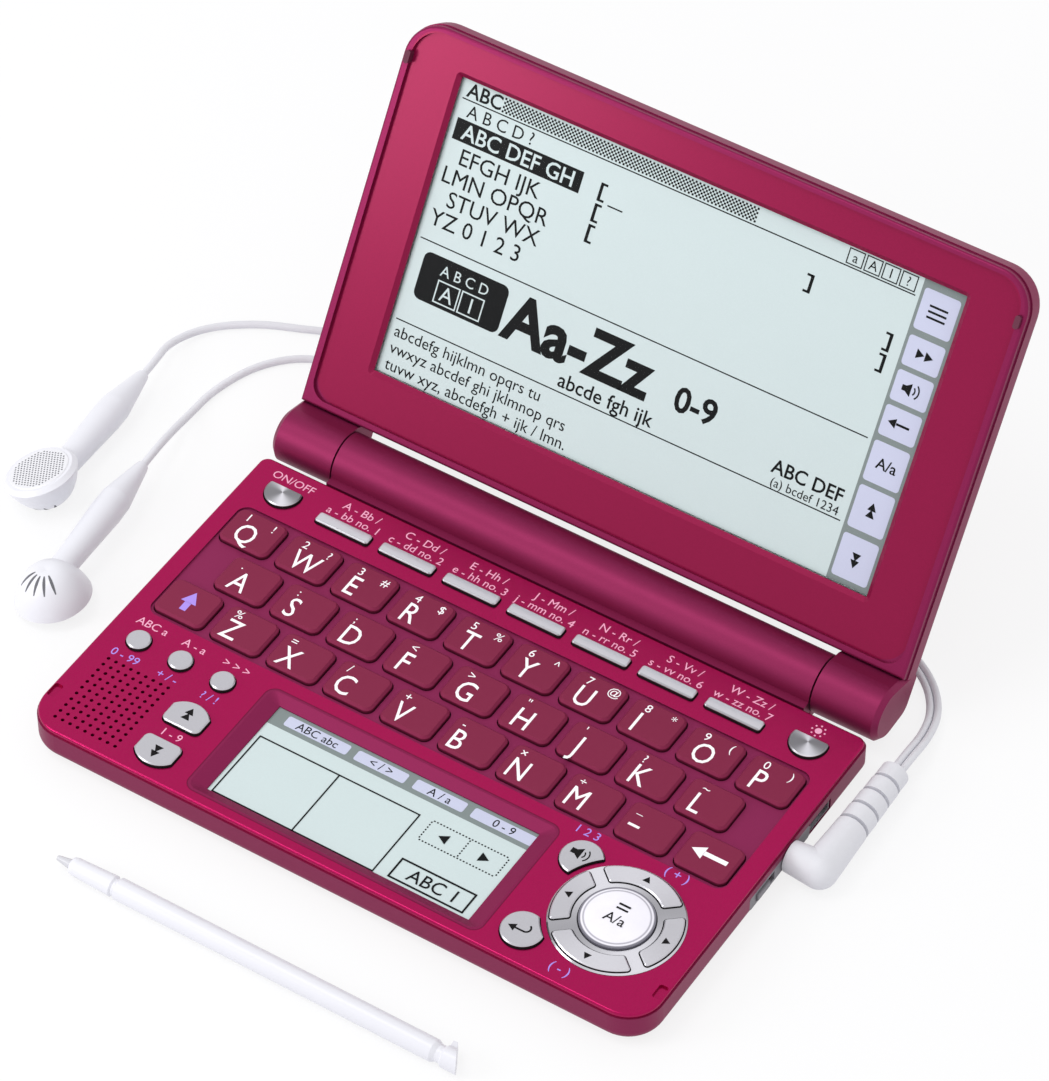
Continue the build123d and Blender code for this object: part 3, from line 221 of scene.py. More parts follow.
class Board:
    """A node tree and the short ways to add to it."""

    math_kind = "ShaderNodeMath"

    def __init__(self, tree):
        self.tree = tree

    def feed(self, slot, value):
        if isinstance(value, Wire):
            self.tree.links.new(value.socket, slot)
        elif slot.type == "RGBA":
            slot.default_value = (*value[:3], 1.0)
        else:
            slot.default_value = value

    def node(self, kind, settings=None, sockets=None, out=0):
        """Adds a node: its settings first, then the values or links of its sockets."""
        node = self.tree.nodes.new(kind)
        for name, value in (settings or {}).items():
            if name == "stops":
                ramp = node.color_ramp.elements
                ramp[0].position, ramp[0].color = value[0][0], (*value[0][1], 1.0)
                ramp[1].position, ramp[1].color = value[-1][0], (*value[-1][1], 1.0)
                for place, shade in value[1:-1]:
                    ramp.new(place).color = (*shade, 1.0)
            else:
                setattr(node, name, value)
        for name, value in (sockets or {}).items():
            self.feed(node.inputs[name], value)
        return Wire(self, node.outputs[out]) if node.outputs else node

    def math(self, operation, *values, clamp=False):
        return self.node(self.math_kind, {"operation": operation, "use_clamp": clamp},
                         dict(enumerate(values)))

    def root(self, value):
        return self.math("SQRT", value)

    def least(self, first, second):
        return self.math("MINIMUM", first, second)

    def most(self, first, second):
        return self.math("MAXIMUM", first, second)

    def below(self, value, edge, soft=0.02):
        """1 where the value is under the edge and 0 past it, with a soft step."""
        return self.math("ADD", 0.5, (edge - value) / (2 * soft), clamp=True)

    def rounded_box(self, x, y, centre, size, radius):
        """Distance outside a rounded rectangle, negative inside it."""
        reach_x = abs(x - centre[0]) - (size[0] / 2 - radius)
        reach_y = abs(y - centre[1]) - (size[1] / 2 - radius)
        out_x = self.most(reach_x, 0.0)
        out_y = self.most(reach_y, 0.0)
        inside = self.least(self.most(reach_x, reach_y), 0.0)
        return self.root(out_x * out_x + out_y * out_y) + inside - radius


class Finish(Board):
    """A material under construction."""

    def __init__(self, name):
        self.material = bpy.data.materials.new(name)
        self.material.use_nodes = True
        super().__init__(self.material.node_tree)
        self.tree.nodes.clear()
        self.spot = self.node("ShaderNodeTexCoord", out="Object")

    def axes(self):
        """Object coordinates in millimetres."""
        spot = self.node("ShaderNodeVectorMath", {"operation": "SCALE"}, {0: self.spot, "Scale": 1 / MM})
        split = self.node("ShaderNodeSeparateXYZ", sockets={0: spot})
        return split, Wire(self, split.socket.node.outputs[1]), Wire(self, split.socket.node.outputs[2])

    def lid_axes(self):
        """U, V and W of the lid's plane at rest, in millimetres."""
        x, y, z = self.axes()
        back, up = y - hinge_y, z - hinge_z
        along = back * math.cos(lid_slope) + up * math.sin(lid_slope)
        out = up * math.cos(lid_slope) - back * math.sin(lid_slope)
        return x, along, out

    def noise(self, size, detail=2.0):
        """Noise about that many metres across, 0 to 1."""
        return self.node("ShaderNodeTexNoise", sockets={"Vector": self.spot, "Scale": 1 / size,
                                                       "Detail": detail}, out="Fac")

    def flakes(self, size):
        """A random value in each cell of that size."""
        cell = self.node("ShaderNodeTexVoronoi", sockets={"Vector": self.spot, "Scale": 1 / size},
                         out="Color")
        return self.node("ShaderNodeSeparateColor", sockets={0: cell})

    def blend(self, share, first, second):
        """First colour where share is 0, second where it is 1."""
        return self.node("ShaderNodeMix", {"data_type": "RGBA"}, {0: share, 6: first, 7: second}, out=2)

    def shade(self, base, value):
        """Multiplies a colour by a value."""
        return self.node("ShaderNodeVectorMath", {"operation": "SCALE"}, {0: base, "Scale": value})

    def bump(self, height, strength, depth, under=None):
        sockets = {"Height": height, "Strength": strength, "Distance": depth}
        if under is not None:
            sockets["Normal"] = under
        return self.node("ShaderNodeBump", sockets=sockets)

    def skin(self, **sockets):
        """Principled surface; an underscore in a socket's name stands for a space."""
        named = {name.replace("_", " "): value for name, value in sockets.items()}
        shader = self.node("ShaderNodeBsdfPrincipled", sockets=named)
        return self.surface(shader)

    def surface(self, shader):
        self.node("ShaderNodeOutputMaterial", sockets={"Surface": shader})
        return self.material


def worn(finish, base, amount=0.08, size=0.02):
    """A colour with faint cloudy variation."""
    return finish.shade(base, 1.0 + (finish.noise(size) - 0.5) * (2 * amount))


# ------------------------------------------------------------------------------------ materials
def deck_gloss(case):
    """Glossy flaked plate with the matt key well and the satin frame of the writing window."""
    paint = Finish("deck_gloss")
    x, y, _ = paint.axes()
    well_y = middle("middle_row_keys").y
    pad = middle("writing_display")
    well = paint.below(paint.rounded_box(x, y, (0.0, well_y), well_size, well_corner), 0.02)
    to_window = paint.rounded_box(x, y, (pad.x, pad.y), window_size, window_corner)
    window = paint.below(to_window, 0.0)
    line = paint.below(abs(to_window), 0.12)
    sparkle = paint.flakes(case.flake)
    gloss = paint.shade(case.deck, 0.94 + sparkle * 0.12)
    matt = paint.shade(case.well, 0.97 + sparkle * 0.06)
    satin = paint.shade(case.shell, 0.96 + sparkle * 0.08)
    shade = paint.blend(well, gloss, matt)
    shade = paint.blend(window, shade, satin)
    shade = paint.shade(shade, 1.0 - line * 0.45)
    soft = paint.most(well, window)
    grain = paint.bump(paint.noise(case.grain), 0.10, 0.00003)
    return paint.skin(Base_Color=shade, Roughness=0.22 + soft * 0.26, Metallic=0.7 - soft * 0.3,
                      Specular_IOR_Level=0.12, Coat_Roughness=0.08, Coat_Weight=0.1 - soft * 0.1,
                      Normal=paint.bump(paint.noise(case.grain * 6), 0.04, 0.00004, grain))


def lid_gloss(case):
    """The lid's front moulding: glossy face, satin rim; the face's colour is the deck's paint darkened,
    painted shade.
    """
    paint = Finish("lid_gloss")
    u, v, _ = paint.lid_axes()
    face = paint.below(paint.rounded_box(u, v, face_middle, face_size, face_corner), 0.0)
    sparkle = paint.flakes(case.flake)
    shade = paint.blend(face, paint.shade(case.shell, 0.95 + sparkle * 0.1),
                        paint.shade(case.face, 0.94 + sparkle * 0.12))
    return paint.skin(Base_Color=shade, Roughness=0.36 - face * 0.06, Metallic=0.5 - face * 0.15,
                      Specular_IOR_Level=0.1, Coat_Roughness=0.22, Coat_Weight=face * 0.15,
                      Normal=paint.bump(paint.noise(case.grain * 2), 0.06, 0.00004))


def shell_satin(case):
    """Satin metallic paint."""
    paint = Finish("shell_satin")
    sparkle = paint.flakes(case.flake)
    shade = worn(paint, paint.shade(case.shell, 0.95 + sparkle * 0.1), 0.03, 0.03)
    return paint.skin(Base_Color=shade, Roughness=0.42 + paint.noise(0.004) * 0.06, Metallic=0.6,
                      Specular_IOR_Level=0.25, Normal=paint.bump(paint.noise(case.grain), 0.2, 0.00004))


def key_matt(case):
    """Fine matt key caps; their sides are blended a little toward the shell colour, and painted shade
    darkens them below the deck.
    """
    cap = Finish("key_matt")
    z = cap.axes()[2]
    top = top_of("top_row_keys")
    # the caps' sides, below the very top, are blended a third toward the shell colour
    rim = cap.below(z, top - 0.06, 0.05)
    # painted shade: the caps are darkened below the deck, where they sit in their holes
    painted_recess_shade = cap.below(z, deck_z - 0.1, 0.3)
    grain = cap.noise(case.grain, 3.0)
    shade = cap.blend(rim * 0.3, case.key, case.shell)
    shade = cap.shade(shade, (0.93 + grain * 0.14) * (1.0 - painted_recess_shade * 0.6))
    return cap.skin(Base_Color=shade, Roughness=0.5 + grain * 0.12, Metallic=0.15,
                    Specular_IOR_Level=0.12, Normal=cap.bump(grain, 0.25, 0.00004))


def silver_cap(case, name, dress):
    """Plated cap over a dark lower body that reaches up its walls above the deck as painted shade;
    dress(finish, x, y) gives the tone, with any painted highlight and shade, and the height of the top.
    """
    cap = Finish(name)
    x, y, z = cap.axes()
    # painted shade: the dark lower body is carried up the walls above the deck
    skirt = cap.below(z, deck_z + lower_body_and_painted_shade_rise, 0.04)
    tone_and_painted_light, height = dress(cap, x, y)
    shade = cap.blend(skirt, cap.shade(case.silver, tone_and_painted_light), case.skirt)
    return cap.skin(Base_Color=shade, Roughness=0.3 + skirt * 0.3, Metallic=0.75 - skirt * 0.75,
                    Specular_IOR_Level=0.5, Normal=cap.bump(height, 0.5, 0.0002))


def brushed(cap, x, y):
    """Fine lines across the keyboard, on a top that falls away to its long sides; a painted highlight
    lightens the top towards the back and painted shade darkens its front under-edge.
    """
    half_depth = 1.35
    fall = (y - middle("function_key_1").y) / half_depth
    lines = cap.node("ShaderNodeTexNoise", sockets={
        "Vector": cap.node("ShaderNodeMapping", sockets={"Vector": cap.spot, "Scale": (0.05, 1.0, 1.0)}),
        "Scale": 9000.0, "Detail": 2.0}, out="Fac")
    # painted shade darkens the front under-edge; fall * 0.08 is a painted highlight that lightens the
    # top towards the back
    under = cap.below(fall, -0.78, 0.12)
    tone_and_painted_light = 0.96 + fall * 0.08 + (lines - 0.5) * 0.12 - under * 0.42
    return tone_and_painted_light, 1.0 - fall * fall


def spun(place):
    """Turned metal: two painted highlight streaks through the centre, and fine rings."""
    def dress(cap, x, y):
        across, back = x - place.x, y - (place.y + 1.0)
        turn = cap.math("ARCTAN2", back, across)
        # painted highlight: the cap is brightened along two opposite directions round its centre
        painted_glint = cap.math("COSINE", (turn - math.radians(118)) * 2.0) * 0.5 + 0.5
        far = cap.root(across * across + back * back)
        rings = cap.math("SINE", far * 42.0)
        return 0.34 + painted_glint * painted_glint * 0.8 + rings * 0.02, rings * 0.03
    return dress


def satin_silver(cap, x, y):
    grain = cap.noise(0.00025)
    return 0.77 + (grain - 0.5) * 0.1, grain * 0.1


def ring_silver(cap, x, y):
    """Satin cap of a ring key with a faint radial brush, and a painted highlight on two opposite sides
    round the ring.
    """
    centre = middle("nav_plate")
    across, back = x - centre.x, y - centre.y
    turn = cap.math("ARCTAN2", back, across)
    brush = cap.node("ShaderNodeTexNoise", {"noise_dimensions": "1D"}, {"W": turn * 90.0, "Detail": 2.0},
                     out="Fac")
    # painted highlight: the cosine of the angle round the ring brightens two opposite sides
    tone_and_painted_light = 0.9 + cap.math("COSINE", (turn - 1.9) * 2.0) * 0.1 + (brush - 0.5) * 0.08
    return tone_and_painted_light, brush * 0.05


def bright_plate(case):
    """Polished ring plate with a painted reflection, brighter on two opposite sides round its centre,
    and painted shade on its walls below the deck.
    """
    plate = Finish("bright_plate")
    x, y, z = plate.axes()
    centre = middle("nav_plate")
    across, back = x - centre.x, y - centre.y
    turn = plate.math("ARCTAN2", back, across)
    # painted reflection: brighter and darker sides by the angle round the plate's centre
    tone_and_painted_light = 0.84 + plate.math("COSINE", (turn + 0.7) * 2.0) * 0.28
    # painted shade: the plate's walls below the deck are darkened
    painted_wall_shade = plate.below(z, deck_z - 0.2, 0.2)
    shade = plate.shade(case.silver, tone_and_painted_light * (1.0 - painted_wall_shade * 0.8))
    return plate.skin(Base_Color=shade, Roughness=0.16 + plate.noise(0.001) * 0.06, Metallic=0.85,
                      Specular_IOR_Level=0.5, Normal=plate.bump(plate.noise(0.0006), 0.03, 0.00004))


def clear_dome():
    """Clear domed key over white: a painted dark circle and a painted dark rim, shade at the clear
    dome's edge, with the white band between them left as a painted highlight ring, and a pearly middle.
    """
    dome = Finish("clear_dome")
    x, y, _ = dome.axes()
    centre = middle("enter_key")
    across, back = x - centre.x, y - centre.y
    far = dome.root(across * across + back * back)
    # painted shade: a dark thin circle at the dome's edge and a dark rim outside it frame a white band,
    # the painted highlight
    ring = dome.below(abs(far - dome_ring), 0.16, 0.14)
    rim = 1.0 - dome.below(far, dome_rim, 0.12)
    pearl = dome.noise(0.004)
    shade = dome.blend(pearl * 0.6, tint(244, 242, 250), tint(224, 221, 233))
    shade = dome.blend(ring * 0.8, shade, tint(138, 136, 150))
    shade = dome.blend(rim, shade, tint(112, 110, 122))
    return dome.skin(Base_Color=shade, Roughness=0.16 + pearl * 0.04, Specular_IOR_Level=0.5,
                     Coat_Weight=0.5 - rim * 0.2, Coat_Roughness=0.06,
                     Normal=dome.bump(dome.below(far, dome_ring, 0.5), 0.2, 0.0002))


def plain(name, shade, rough=0.5, metal=0.0, grain=0.0003, depth=0.15, **sockets):
    """One-colour moulding or metal with faint cloudiness and a fine grain."""
    part = Finish(name)
    fine = part.noise(grain, 3.0)
    base = part.shade(worn(part, shade, 0.03, 0.012), 0.97 + fine * 0.06)
    return part.skin(Base_Color=base, Roughness=rough + (fine - 0.5) * 0.08, Metallic=metal,
                     Normal=part.bump(fine, depth, 0.00003), **sockets)


def smooth_white(name, shade, rough):
    """White moulding with a thin clear coat."""
    part = Finish(name)
    cloud = part.noise(0.01)
    base = part.shade(shade, 0.98 + cloud * 0.03)
    return part.skin(Base_Color=base, Roughness=rough + part.noise(0.0006) * 0.08,
                     Specular_IOR_Level=0.45, Coat_Weight=0.15, Coat_Roughness=0.2,
                     Normal=part.bump(part.noise(0.0004), 0.05, 0.00003))


def lcd(name, screens):
    """Bare panel with the faint mesh of its pixels."""
    panel = Finish(name)
    cells = panel.flakes(screens.pixel / 2)
    base = panel.shade(screens.panel, 0.985 + cells * 0.02 + (panel.noise(0.03) - 0.5) * 0.02)
    return panel.skin(Base_Color=base, Roughness=0.42 + cells * 0.04, Specular_IOR_Level=0.25,
                      Normal=panel.bump(cells, 0.03, 0.00002))


def clear_glass():
    """Touch panel: almost all light goes through."""
    glass = Finish("touch_glass")
    clear = glass.node("ShaderNodeBsdfTransparent")
    haze = glass.noise(0.01)
    gloss = glass.node("ShaderNodeBsdfPrincipled", sockets={
        "Base Color": tint(60, 64, 64), "Roughness": 0.12 + haze * 0.05, "Specular IOR Level": 0.5})
    return glass.surface(glass.node("ShaderNodeMixShader", sockets={
        0: 0.004 + haze * 0.008, 1: clear, 2: gloss}))


def board_green():
    """Solder mask over copper traces, black chips under it."""
    board = Finish("board_green")
    z = board.axes()[2]
    trace = board.node("ShaderNodeTexBrick", {"offset": 0.5}, {
        "Vector": board.spot, "Scale": 400.0, "Mortar Size": 0.06}, out="Fac")
    chips = board.below(z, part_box("main_board")[0].z / MM + 1.08, 0.02)
    base = board.blend(trace * 0.5, tint(22, 96, 56), tint(70, 140, 78))
    return board.skin(Base_Color=board.blend(chips, base, tint(18, 18, 20)), Roughness=0.4 + chips * 0.2,
                      Normal=board.bump(trace, 0.2, 0.00003))


def cell_wrap():
    """Foil sleeve with a dark band at one end of each cell."""
    wrap = Finish("cell_wrap")
    x = wrap.axes()[0]
    cell_length = 44.5
    band = wrap.below(abs(wrap.math("PINGPONG", x, cell_length) - 34.0), 3.0, 0.05)
    fine = wrap.noise(0.0005)
    shade = wrap.blend(band, wrap.shade(tint(206, 206, 212), 0.95 + fine * 0.1), tint(60, 60, 66))
    return wrap.skin(Base_Color=shade, Roughness=0.3 + fine * 0.1, Metallic=0.8 - band * 0.5,
                     Normal=wrap.bump(fine, 0.1, 0.00003))


def twin_rubber(phones):
    """Cord jacket: smooth, with a faint fine grain."""
    jacket = Finish("cord_jacket")
    drawn = jacket.noise(0.0012, 3.0)
    base = jacket.shade(phones.rubber, 0.97 + drawn * 0.04)
    return jacket.skin(Base_Color=base, Roughness=0.46 + drawn * 0.08, Specular_IOR_Level=0.35,
                       Normal=jacket.bump(drawn, 0.08, 0.00003))


def ink(name, shade, rough=0.5):
    """Printed ink, a little uneven."""
    return plain(name, shade, rough, grain=0.0002, depth=0.08, Specular_IOR_Level=0.12)


def dress(material, *names):
    """Gives CAD nodes a material in place of the one they came with."""
    for name in names:
        slots = nodes[name].material_slots
        if not slots:
            nodes[name].data.materials.append(material)
        for place in slots:
            place.material = material


# --------------------------------------------------------------------------- marks on a surface
deck_plane = Matrix.Scale(MM, 4)
lid_plane = Matrix.Translation((0, hinge_y * MM, hinge_z * MM)) @ Matrix((
    (1, 0, 0, 0),
    (0, math.cos(lid_slope), -math.sin(lid_slope), 0),
    (0, math.sin(lid_slope), math.cos(lid_slope), 0),
    (0, 0, 0, 1))) @ Matrix.Scale(MM, 4)


def bare_type(words, depth=0.0, weight=0.0):
    """Mesh of a line of type of size 1, on its baseline."""
    type_face = bpy.data.curves.new("type", "FONT")
    type_face.body = words
    type_face.extrude = depth / 2
    type_face.offset = weight
    type_face.resolution_u = 3
    holder = bpy.data.objects.new("type", type_face)
    bpy.context.scene.collection.objects.link(holder)
    mesh = bpy.data.meshes.new_from_object(holder.evaluated_get(bpy.context.evaluated_depsgraph_get()))
    bpy.data.objects.remove(holder)
    bpy.data.curves.remove(type_face)
    return mesh


cap_height = max(vertex.co.y for vertex in bare_type("H").vertices)


class Marks:
    """Thin solid marks gathered on one plane: type, bars, discs, frames and arrows."""

    def __init__(self, plane, low, high):
        self.mesh = bmesh.new()
        self.plane = plane
        self.low = low
        self.high = high

    def solid(self, points):
        """Upright prism over a closed outline that runs anticlockwise."""
        floor = [self.mesh.verts.new(self.plane @ Vector((u, v, self.low))) for u, v in points]
        roof = [self.mesh.verts.new(self.plane @ Vector((u, v, self.high))) for u, v in points]
        self.mesh.faces.new(list(reversed(floor)))
        self.mesh.faces.new(roof)
        for i in range(len(points)):
            j = (i + 1) % len(points)
            self.mesh.faces.new((floor[i], floor[j], roof[j], roof[i]))

    def bar(self, u, v, width, height, radius=0.0, steps=4):
        """Rectangle round (u, v), with rounded corners."""
        points = []
        for corner, (side_u, side_v) in enumerate(((1, 1), (-1, 1), (-1, -1), (1, -1))):
            centre_u = u + side_u * (width / 2 - radius)
            centre_v = v + side_v * (height / 2 - radius)
            for step in range(steps + 1 if radius else 1):
                turn = math.radians(90 * (corner + step / steps))
                points.append((centre_u + radius * math.cos(turn), centre_v + radius * math.sin(turn)))
        self.solid(points)

    def frame(self, u, v, width, height, line):
        """Four bars round a rectangle."""
        for side in (-1, 1):
            self.bar(u, v + side * (height - line) / 2, width, line)
            self.bar(u + side * (width - line) / 2, v, line, height - 2 * line)

    def disc(self, u, v, radius, steps=20):
        turns = [2 * math.pi * step / steps for step in range(steps)]
        self.solid([(u + radius * math.cos(turn), v + radius * math.sin(turn)) for turn in turns])

    def arrow(self, u, v, size, turn=0.0):
        """Triangle that points up, turned anticlockwise by degrees."""
        corners = [(math.radians(90 + turn + 120 * corner), size) for corner in range(3)]
        self.solid([(u + far * math.cos(angle), v + far * math.sin(angle)) for angle, far in corners])

    def arc(self, u, v, radius, line, first, last, steps=8):
        """Part of a ring, between two angles in degrees."""
        turns = [math.radians(first + (last - first) * step / steps) for step in range(steps + 1)]
        outer = [(u + (radius + line / 2) * math.cos(turn), v + (radius + line / 2) * math.sin(turn))
                 for turn in turns]
        inner = [(u + (radius - line / 2) * math.cos(turn), v + (radius - line / 2) * math.sin(turn))
                 for turn in reversed(turns)]
        self.solid(outer + inner)

    def type(self, words, u, v, height, align=0.0, weight=0.0, turn=0.0, stretch=1.0):
        """A line of capitals of that height round (u, v); align is -1 left, 0 centre, 1 right."""
        scale = height / cap_height
        mesh = bare_type(words, (self.high - self.low) / scale, weight)
        left = min(vertex.co.x for vertex in mesh.vertices)
        right = max(vertex.co.x for vertex in mesh.vertices)
        anchor = left + (right - left) * (align + 1) / 2
        place = (Matrix.Translation((u, v, (self.low + self.high) / 2))
                 @ Matrix.Rotation(math.radians(turn), 4, "Z")
                 @ Matrix.Diagonal((scale * stretch, scale, scale, 1))
                 @ Matrix.Translation((-anchor, -cap_height / 2, 0)))
        mesh.transform(self.plane @ place)
        self.mesh.from_mesh(mesh)
        bpy.data.meshes.remove(mesh)

    def piece(self, name, body, material, slot):
        """Makes the marks one piece on a body."""
        bmesh.ops.remove_doubles(self.mesh, verts=self.mesh.verts, dist=1e-7)
        bmesh.ops.recalc_face_normals(self.mesh, faces=self.mesh.faces)
        return settle(name, self.mesh, body, material)


def settle(name, mesh, body, material, smooth=False):
    """Turns a bmesh or a mesh into a piece that rides on a body."""
    if isinstance(mesh, bmesh.types.BMesh):
        data = bpy.data.meshes.new(name)
        mesh.to_mesh(data)
        mesh.free()
    else:
        data = mesh
        data.name = name
    data.materials.clear()
    data.materials.append(material)
    for face in data.polygons:
        face.use_smooth = smooth
    piece = bpy.data.objects.new(name, data)
    bpy.context.scene.collection.objects.link(piece)
    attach(piece, body)
    return piece


# -------------------------------------------------------------------------------- pattern trees
class Pattern(Board):
    """A Geometry Nodes tree with named inputs, and the plain mesh that it makes."""

    def __init__(self, name):
        super().__init__(bpy.data.node_groups.new(name, "GeometryNodeTree"))
        self.tree.interface.new_socket("Geometry", in_out="OUTPUT", socket_type="NodeSocketGeometry")
        self.values = {}
        self.source = self.tree.nodes.new("NodeGroupInput")

    def size(self, name, value, kind="NodeSocketFloat"):
        """A named input and the value that it gets."""
        socket = self.tree.interface.new_socket(name, in_out="INPUT", socket_type=kind)
        self.values[socket.identifier] = value
        return Wire(self, self.source.outputs[name])

    def mesh(self, geometry, material, plane):
        """Ends the tree, runs it and returns its mesh placed on a plane."""
        plain_mesh = self.node("GeometryNodeRealizeInstances", sockets={"Geometry": geometry})
        coloured = self.node("GeometryNodeSetMaterial", sockets={
            "Geometry": plain_mesh, "Material": self.size("Finish", material, "NodeSocketMaterial")})
        self.node("NodeGroupOutput", sockets={"Geometry": coloured})
        holder = bpy.data.objects.new("pattern", bpy.data.meshes.new("pattern"))
        bpy.context.scene.collection.objects.link(holder)
        modifier = holder.modifiers.new("pattern", "NODES")
        modifier.node_group = self.tree
        for identifier, value in self.values.items():
            modifier[identifier] = value
        graph = bpy.context.evaluated_depsgraph_get()
        made = bpy.data.meshes.new_from_object(holder.evaluated_get(graph))
        holder.modifiers.remove(modifier)
        bpy.data.objects.remove(holder)
        made.transform(plane)
        return made


def perforations(radius, pitch, hole, thickness):
    """Hexagonal field of small discs inside a circle, in metres."""
    field = Pattern("perforations")
    reach = field.size("Reach", radius)
    step = field.size("Pitch", pitch)
    hole_radius = field.size("Hole", hole)
    depth = field.size("Thickness", thickness)
    row_share = 0.866       # distance between rows of a hexagonal field, as a share of the pitch
    count = 2 * math.ceil(radius / pitch) + 1
    lines = 2 * math.ceil(radius / (pitch * row_share)) + 1
    grid = field.node("GeometryNodeMeshGrid", sockets={
        "Size X": step * (count - 1), "Size Y": step * (row_share * (lines - 1)),
        "Vertices X": count, "Vertices Y": lines})
    spot = field.node("ShaderNodeSeparateXYZ", sockets={0: field.node("GeometryNodeInputPosition")})
    line = field.math("ROUND", Wire(field, spot.socket.node.outputs[1]) / (step * row_share))
    nudge = field.math("PINGPONG", line, 1.0) * step * 0.5
    shift = field.node("ShaderNodeCombineXYZ", sockets={0: nudge})
    moved = field.node("GeometryNodeSetPosition", sockets={"Geometry": grid, "Offset": shift})
    far = field.node("ShaderNodeVectorMath", {"operation": "LENGTH"},
                     {0: field.node("GeometryNodeInputPosition")}, out="Value")
    outside = field.node("FunctionNodeCompare", {"data_type": "FLOAT", "operation": "GREATER_THAN"},
                         {0: far, 1: reach - hole_radius * 2.0})
    kept = field.node("GeometryNodeDeleteGeometry", {"domain": "POINT"},
                      {"Geometry": moved, "Selection": outside})
    disc = field.node("GeometryNodeMeshCylinder", {"fill_type": "NGON"}, {
        "Vertices": 7, "Radius": hole_radius, "Depth": depth})
    return field, field.node("GeometryNodeInstanceOnPoints", sockets={"Points": kept, "Instance": disc})


def checks(width, height, check, thickness):
    """Chequered band of small squares, in millimetres."""
    field = Pattern("checks")
    step = field.size("Check", check)
    depth = field.size("Thickness", thickness)
    count = round(width / check)
    lines = round(height / check)
    grid = field.node("GeometryNodeMeshGrid", sockets={
        "Size X": step * (count - 1), "Size Y": step * (lines - 1),
        "Vertices X": count, "Vertices Y": lines})
    spot = field.node("ShaderNodeSeparateXYZ", sockets={0: field.node("GeometryNodeInputPosition")})
    across = Wire(field, spot.socket.node.outputs[1])
    cell = spot / step + (count - 1) / 2 + across / step + (lines - 1) / 2
    odd = field.node("FunctionNodeCompare", {"data_type": "FLOAT", "operation": "GREATER_THAN"},
                     {0: field.math("PINGPONG", field.math("ROUND", cell), 1.0), 1: 0.5})
    kept = field.node("GeometryNodeDeleteGeometry", {"domain": "POINT"},
                      {"Geometry": grid, "Selection": odd})
    size = field.node("ShaderNodeCombineXYZ", sockets={0: step, 1: step, 2: depth})
    square = field.node("GeometryNodeMeshCube", sockets={"Size": size})
    return field, field.node("GeometryNodeInstanceOnPoints",
                             sockets={"Points": kept, "Instance": square})


# ------------------------------------------------------------------------------------ operators
# For each row of letter keys: its letters, the marks over them and the marks beside them
rows = {
    "top_row_keys": ("QWERTYUIOP", "1234567890", "!?#$%^@*()"),
    "middle_row_keys": ("ASDFGHJKL", ".:;<>\"'?~", "         "),
    "bottom_row_keys": ("ZXCVBNM-", "%=/+-×÷_", "        "),
}
# The keys of the ring, and how far each is turned
ring_keys = {"up_key": 0, "left_key": 90, "down_key": 180, "right_key": 270}


class DICTIONARY_OT_housing(bpy.types.Operator):
    """Paint the case, the deck, the lid and the battery barrel"""

    bl_idname = "dictionary.housing"
    bl_label = "Housing"

    def execute(self, context):
        case = context.scene.dictionary_case
        dress(deck_gloss(case), "top_cover")
        dress(lid_gloss(case), "lid_front_frame")
        dress(shell_satin(case), "lower_case", "lid_back_cover", "hinge_barrel", "battery_cover")
        rubber = plain("dark_rubber", tint(40, 30, 36), 0.7, grain=0.0004, depth=0.3)
        dress(rubber, "rubber_feet", "key_mat")
        dress(plain("plum_rubber", tint(92, 20, 52), 0.6, grain=0.0004, depth=0.3), "lid_bumpers")
        dress(plain("grey_trim", tint(120, 118, 124), 0.5), "port_trim", "output_switch")
        return {"FINISHED"}


class DICTIONARY_OT_inner_parts(bpy.types.Operator):
    """Finish the board, the cells, the ports and the metal parts"""

    bl_idname = "dictionary.inner_parts"
    bl_label = "Inner Parts"

    def execute(self, context):
        dress(board_green(), "main_board")
        dress(cell_wrap(), "batteries")
        steel = plain("nickel_steel", tint(196, 196, 200), 0.28, 0.9, grain=0.0005,
                      Specular_IOR_Level=0.5)
        dress(steel, "battery_contacts", "hinge_pins", "case_screws", "usb_port")
        dress(plain("dark_moulding", tint(26, 26, 28), 0.6), "speaker", "headphone_jack")
        dress(plain("gold_plate", tint(226, 184, 110), 0.22, 0.95), "plug")
        return {"FINISHED"}


class DICTIONARY_OT_key_caps(bpy.types.Operator):
    """Finish the letter keys, the plated keys and the ring"""

    bl_idname = "dictionary.key_caps"
    bl_label = "Key Caps"

    def execute(self, context):
        case = context.scene.dictionary_case
        dress(key_matt(case), *rows, "shift_key", "delete_key")
        bars = [f"function_key_{number}" for number in range(1, 8)]
        dress(silver_cap(case, "brushed_bar", brushed), *bars)
        for name in ("power_key", "backlight_key"):
            dress(silver_cap(case, "spun_" + name, spun(middle(name))), name)
        dots = [f"round_key_{number}" for number in range(1, 4)]
        dress(silver_cap(case, "satin_silver", satin_silver), *dots, "page_up_key", "page_down_key",
              "voice_key", "back_key")
        dress(silver_cap(case, "ring_silver", ring_silver), *ring_keys)
        dress(bright_plate(case), "nav_plate")
        dress(clear_dome(), "enter_key")
        return {"FINISHED"}


def row_centres(node, count):
    """Centres of the keys of a row, worked out from its box."""
    low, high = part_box(node)
    depth = (high.y - low.y) / MM
    width = depth + 2.2
    first = low.x / MM + width / 2
    pitch = ((high.x - low.x) / MM - width) / (count - 1)
    return [(first + number * pitch, middle(node).y) for number in range(count)]


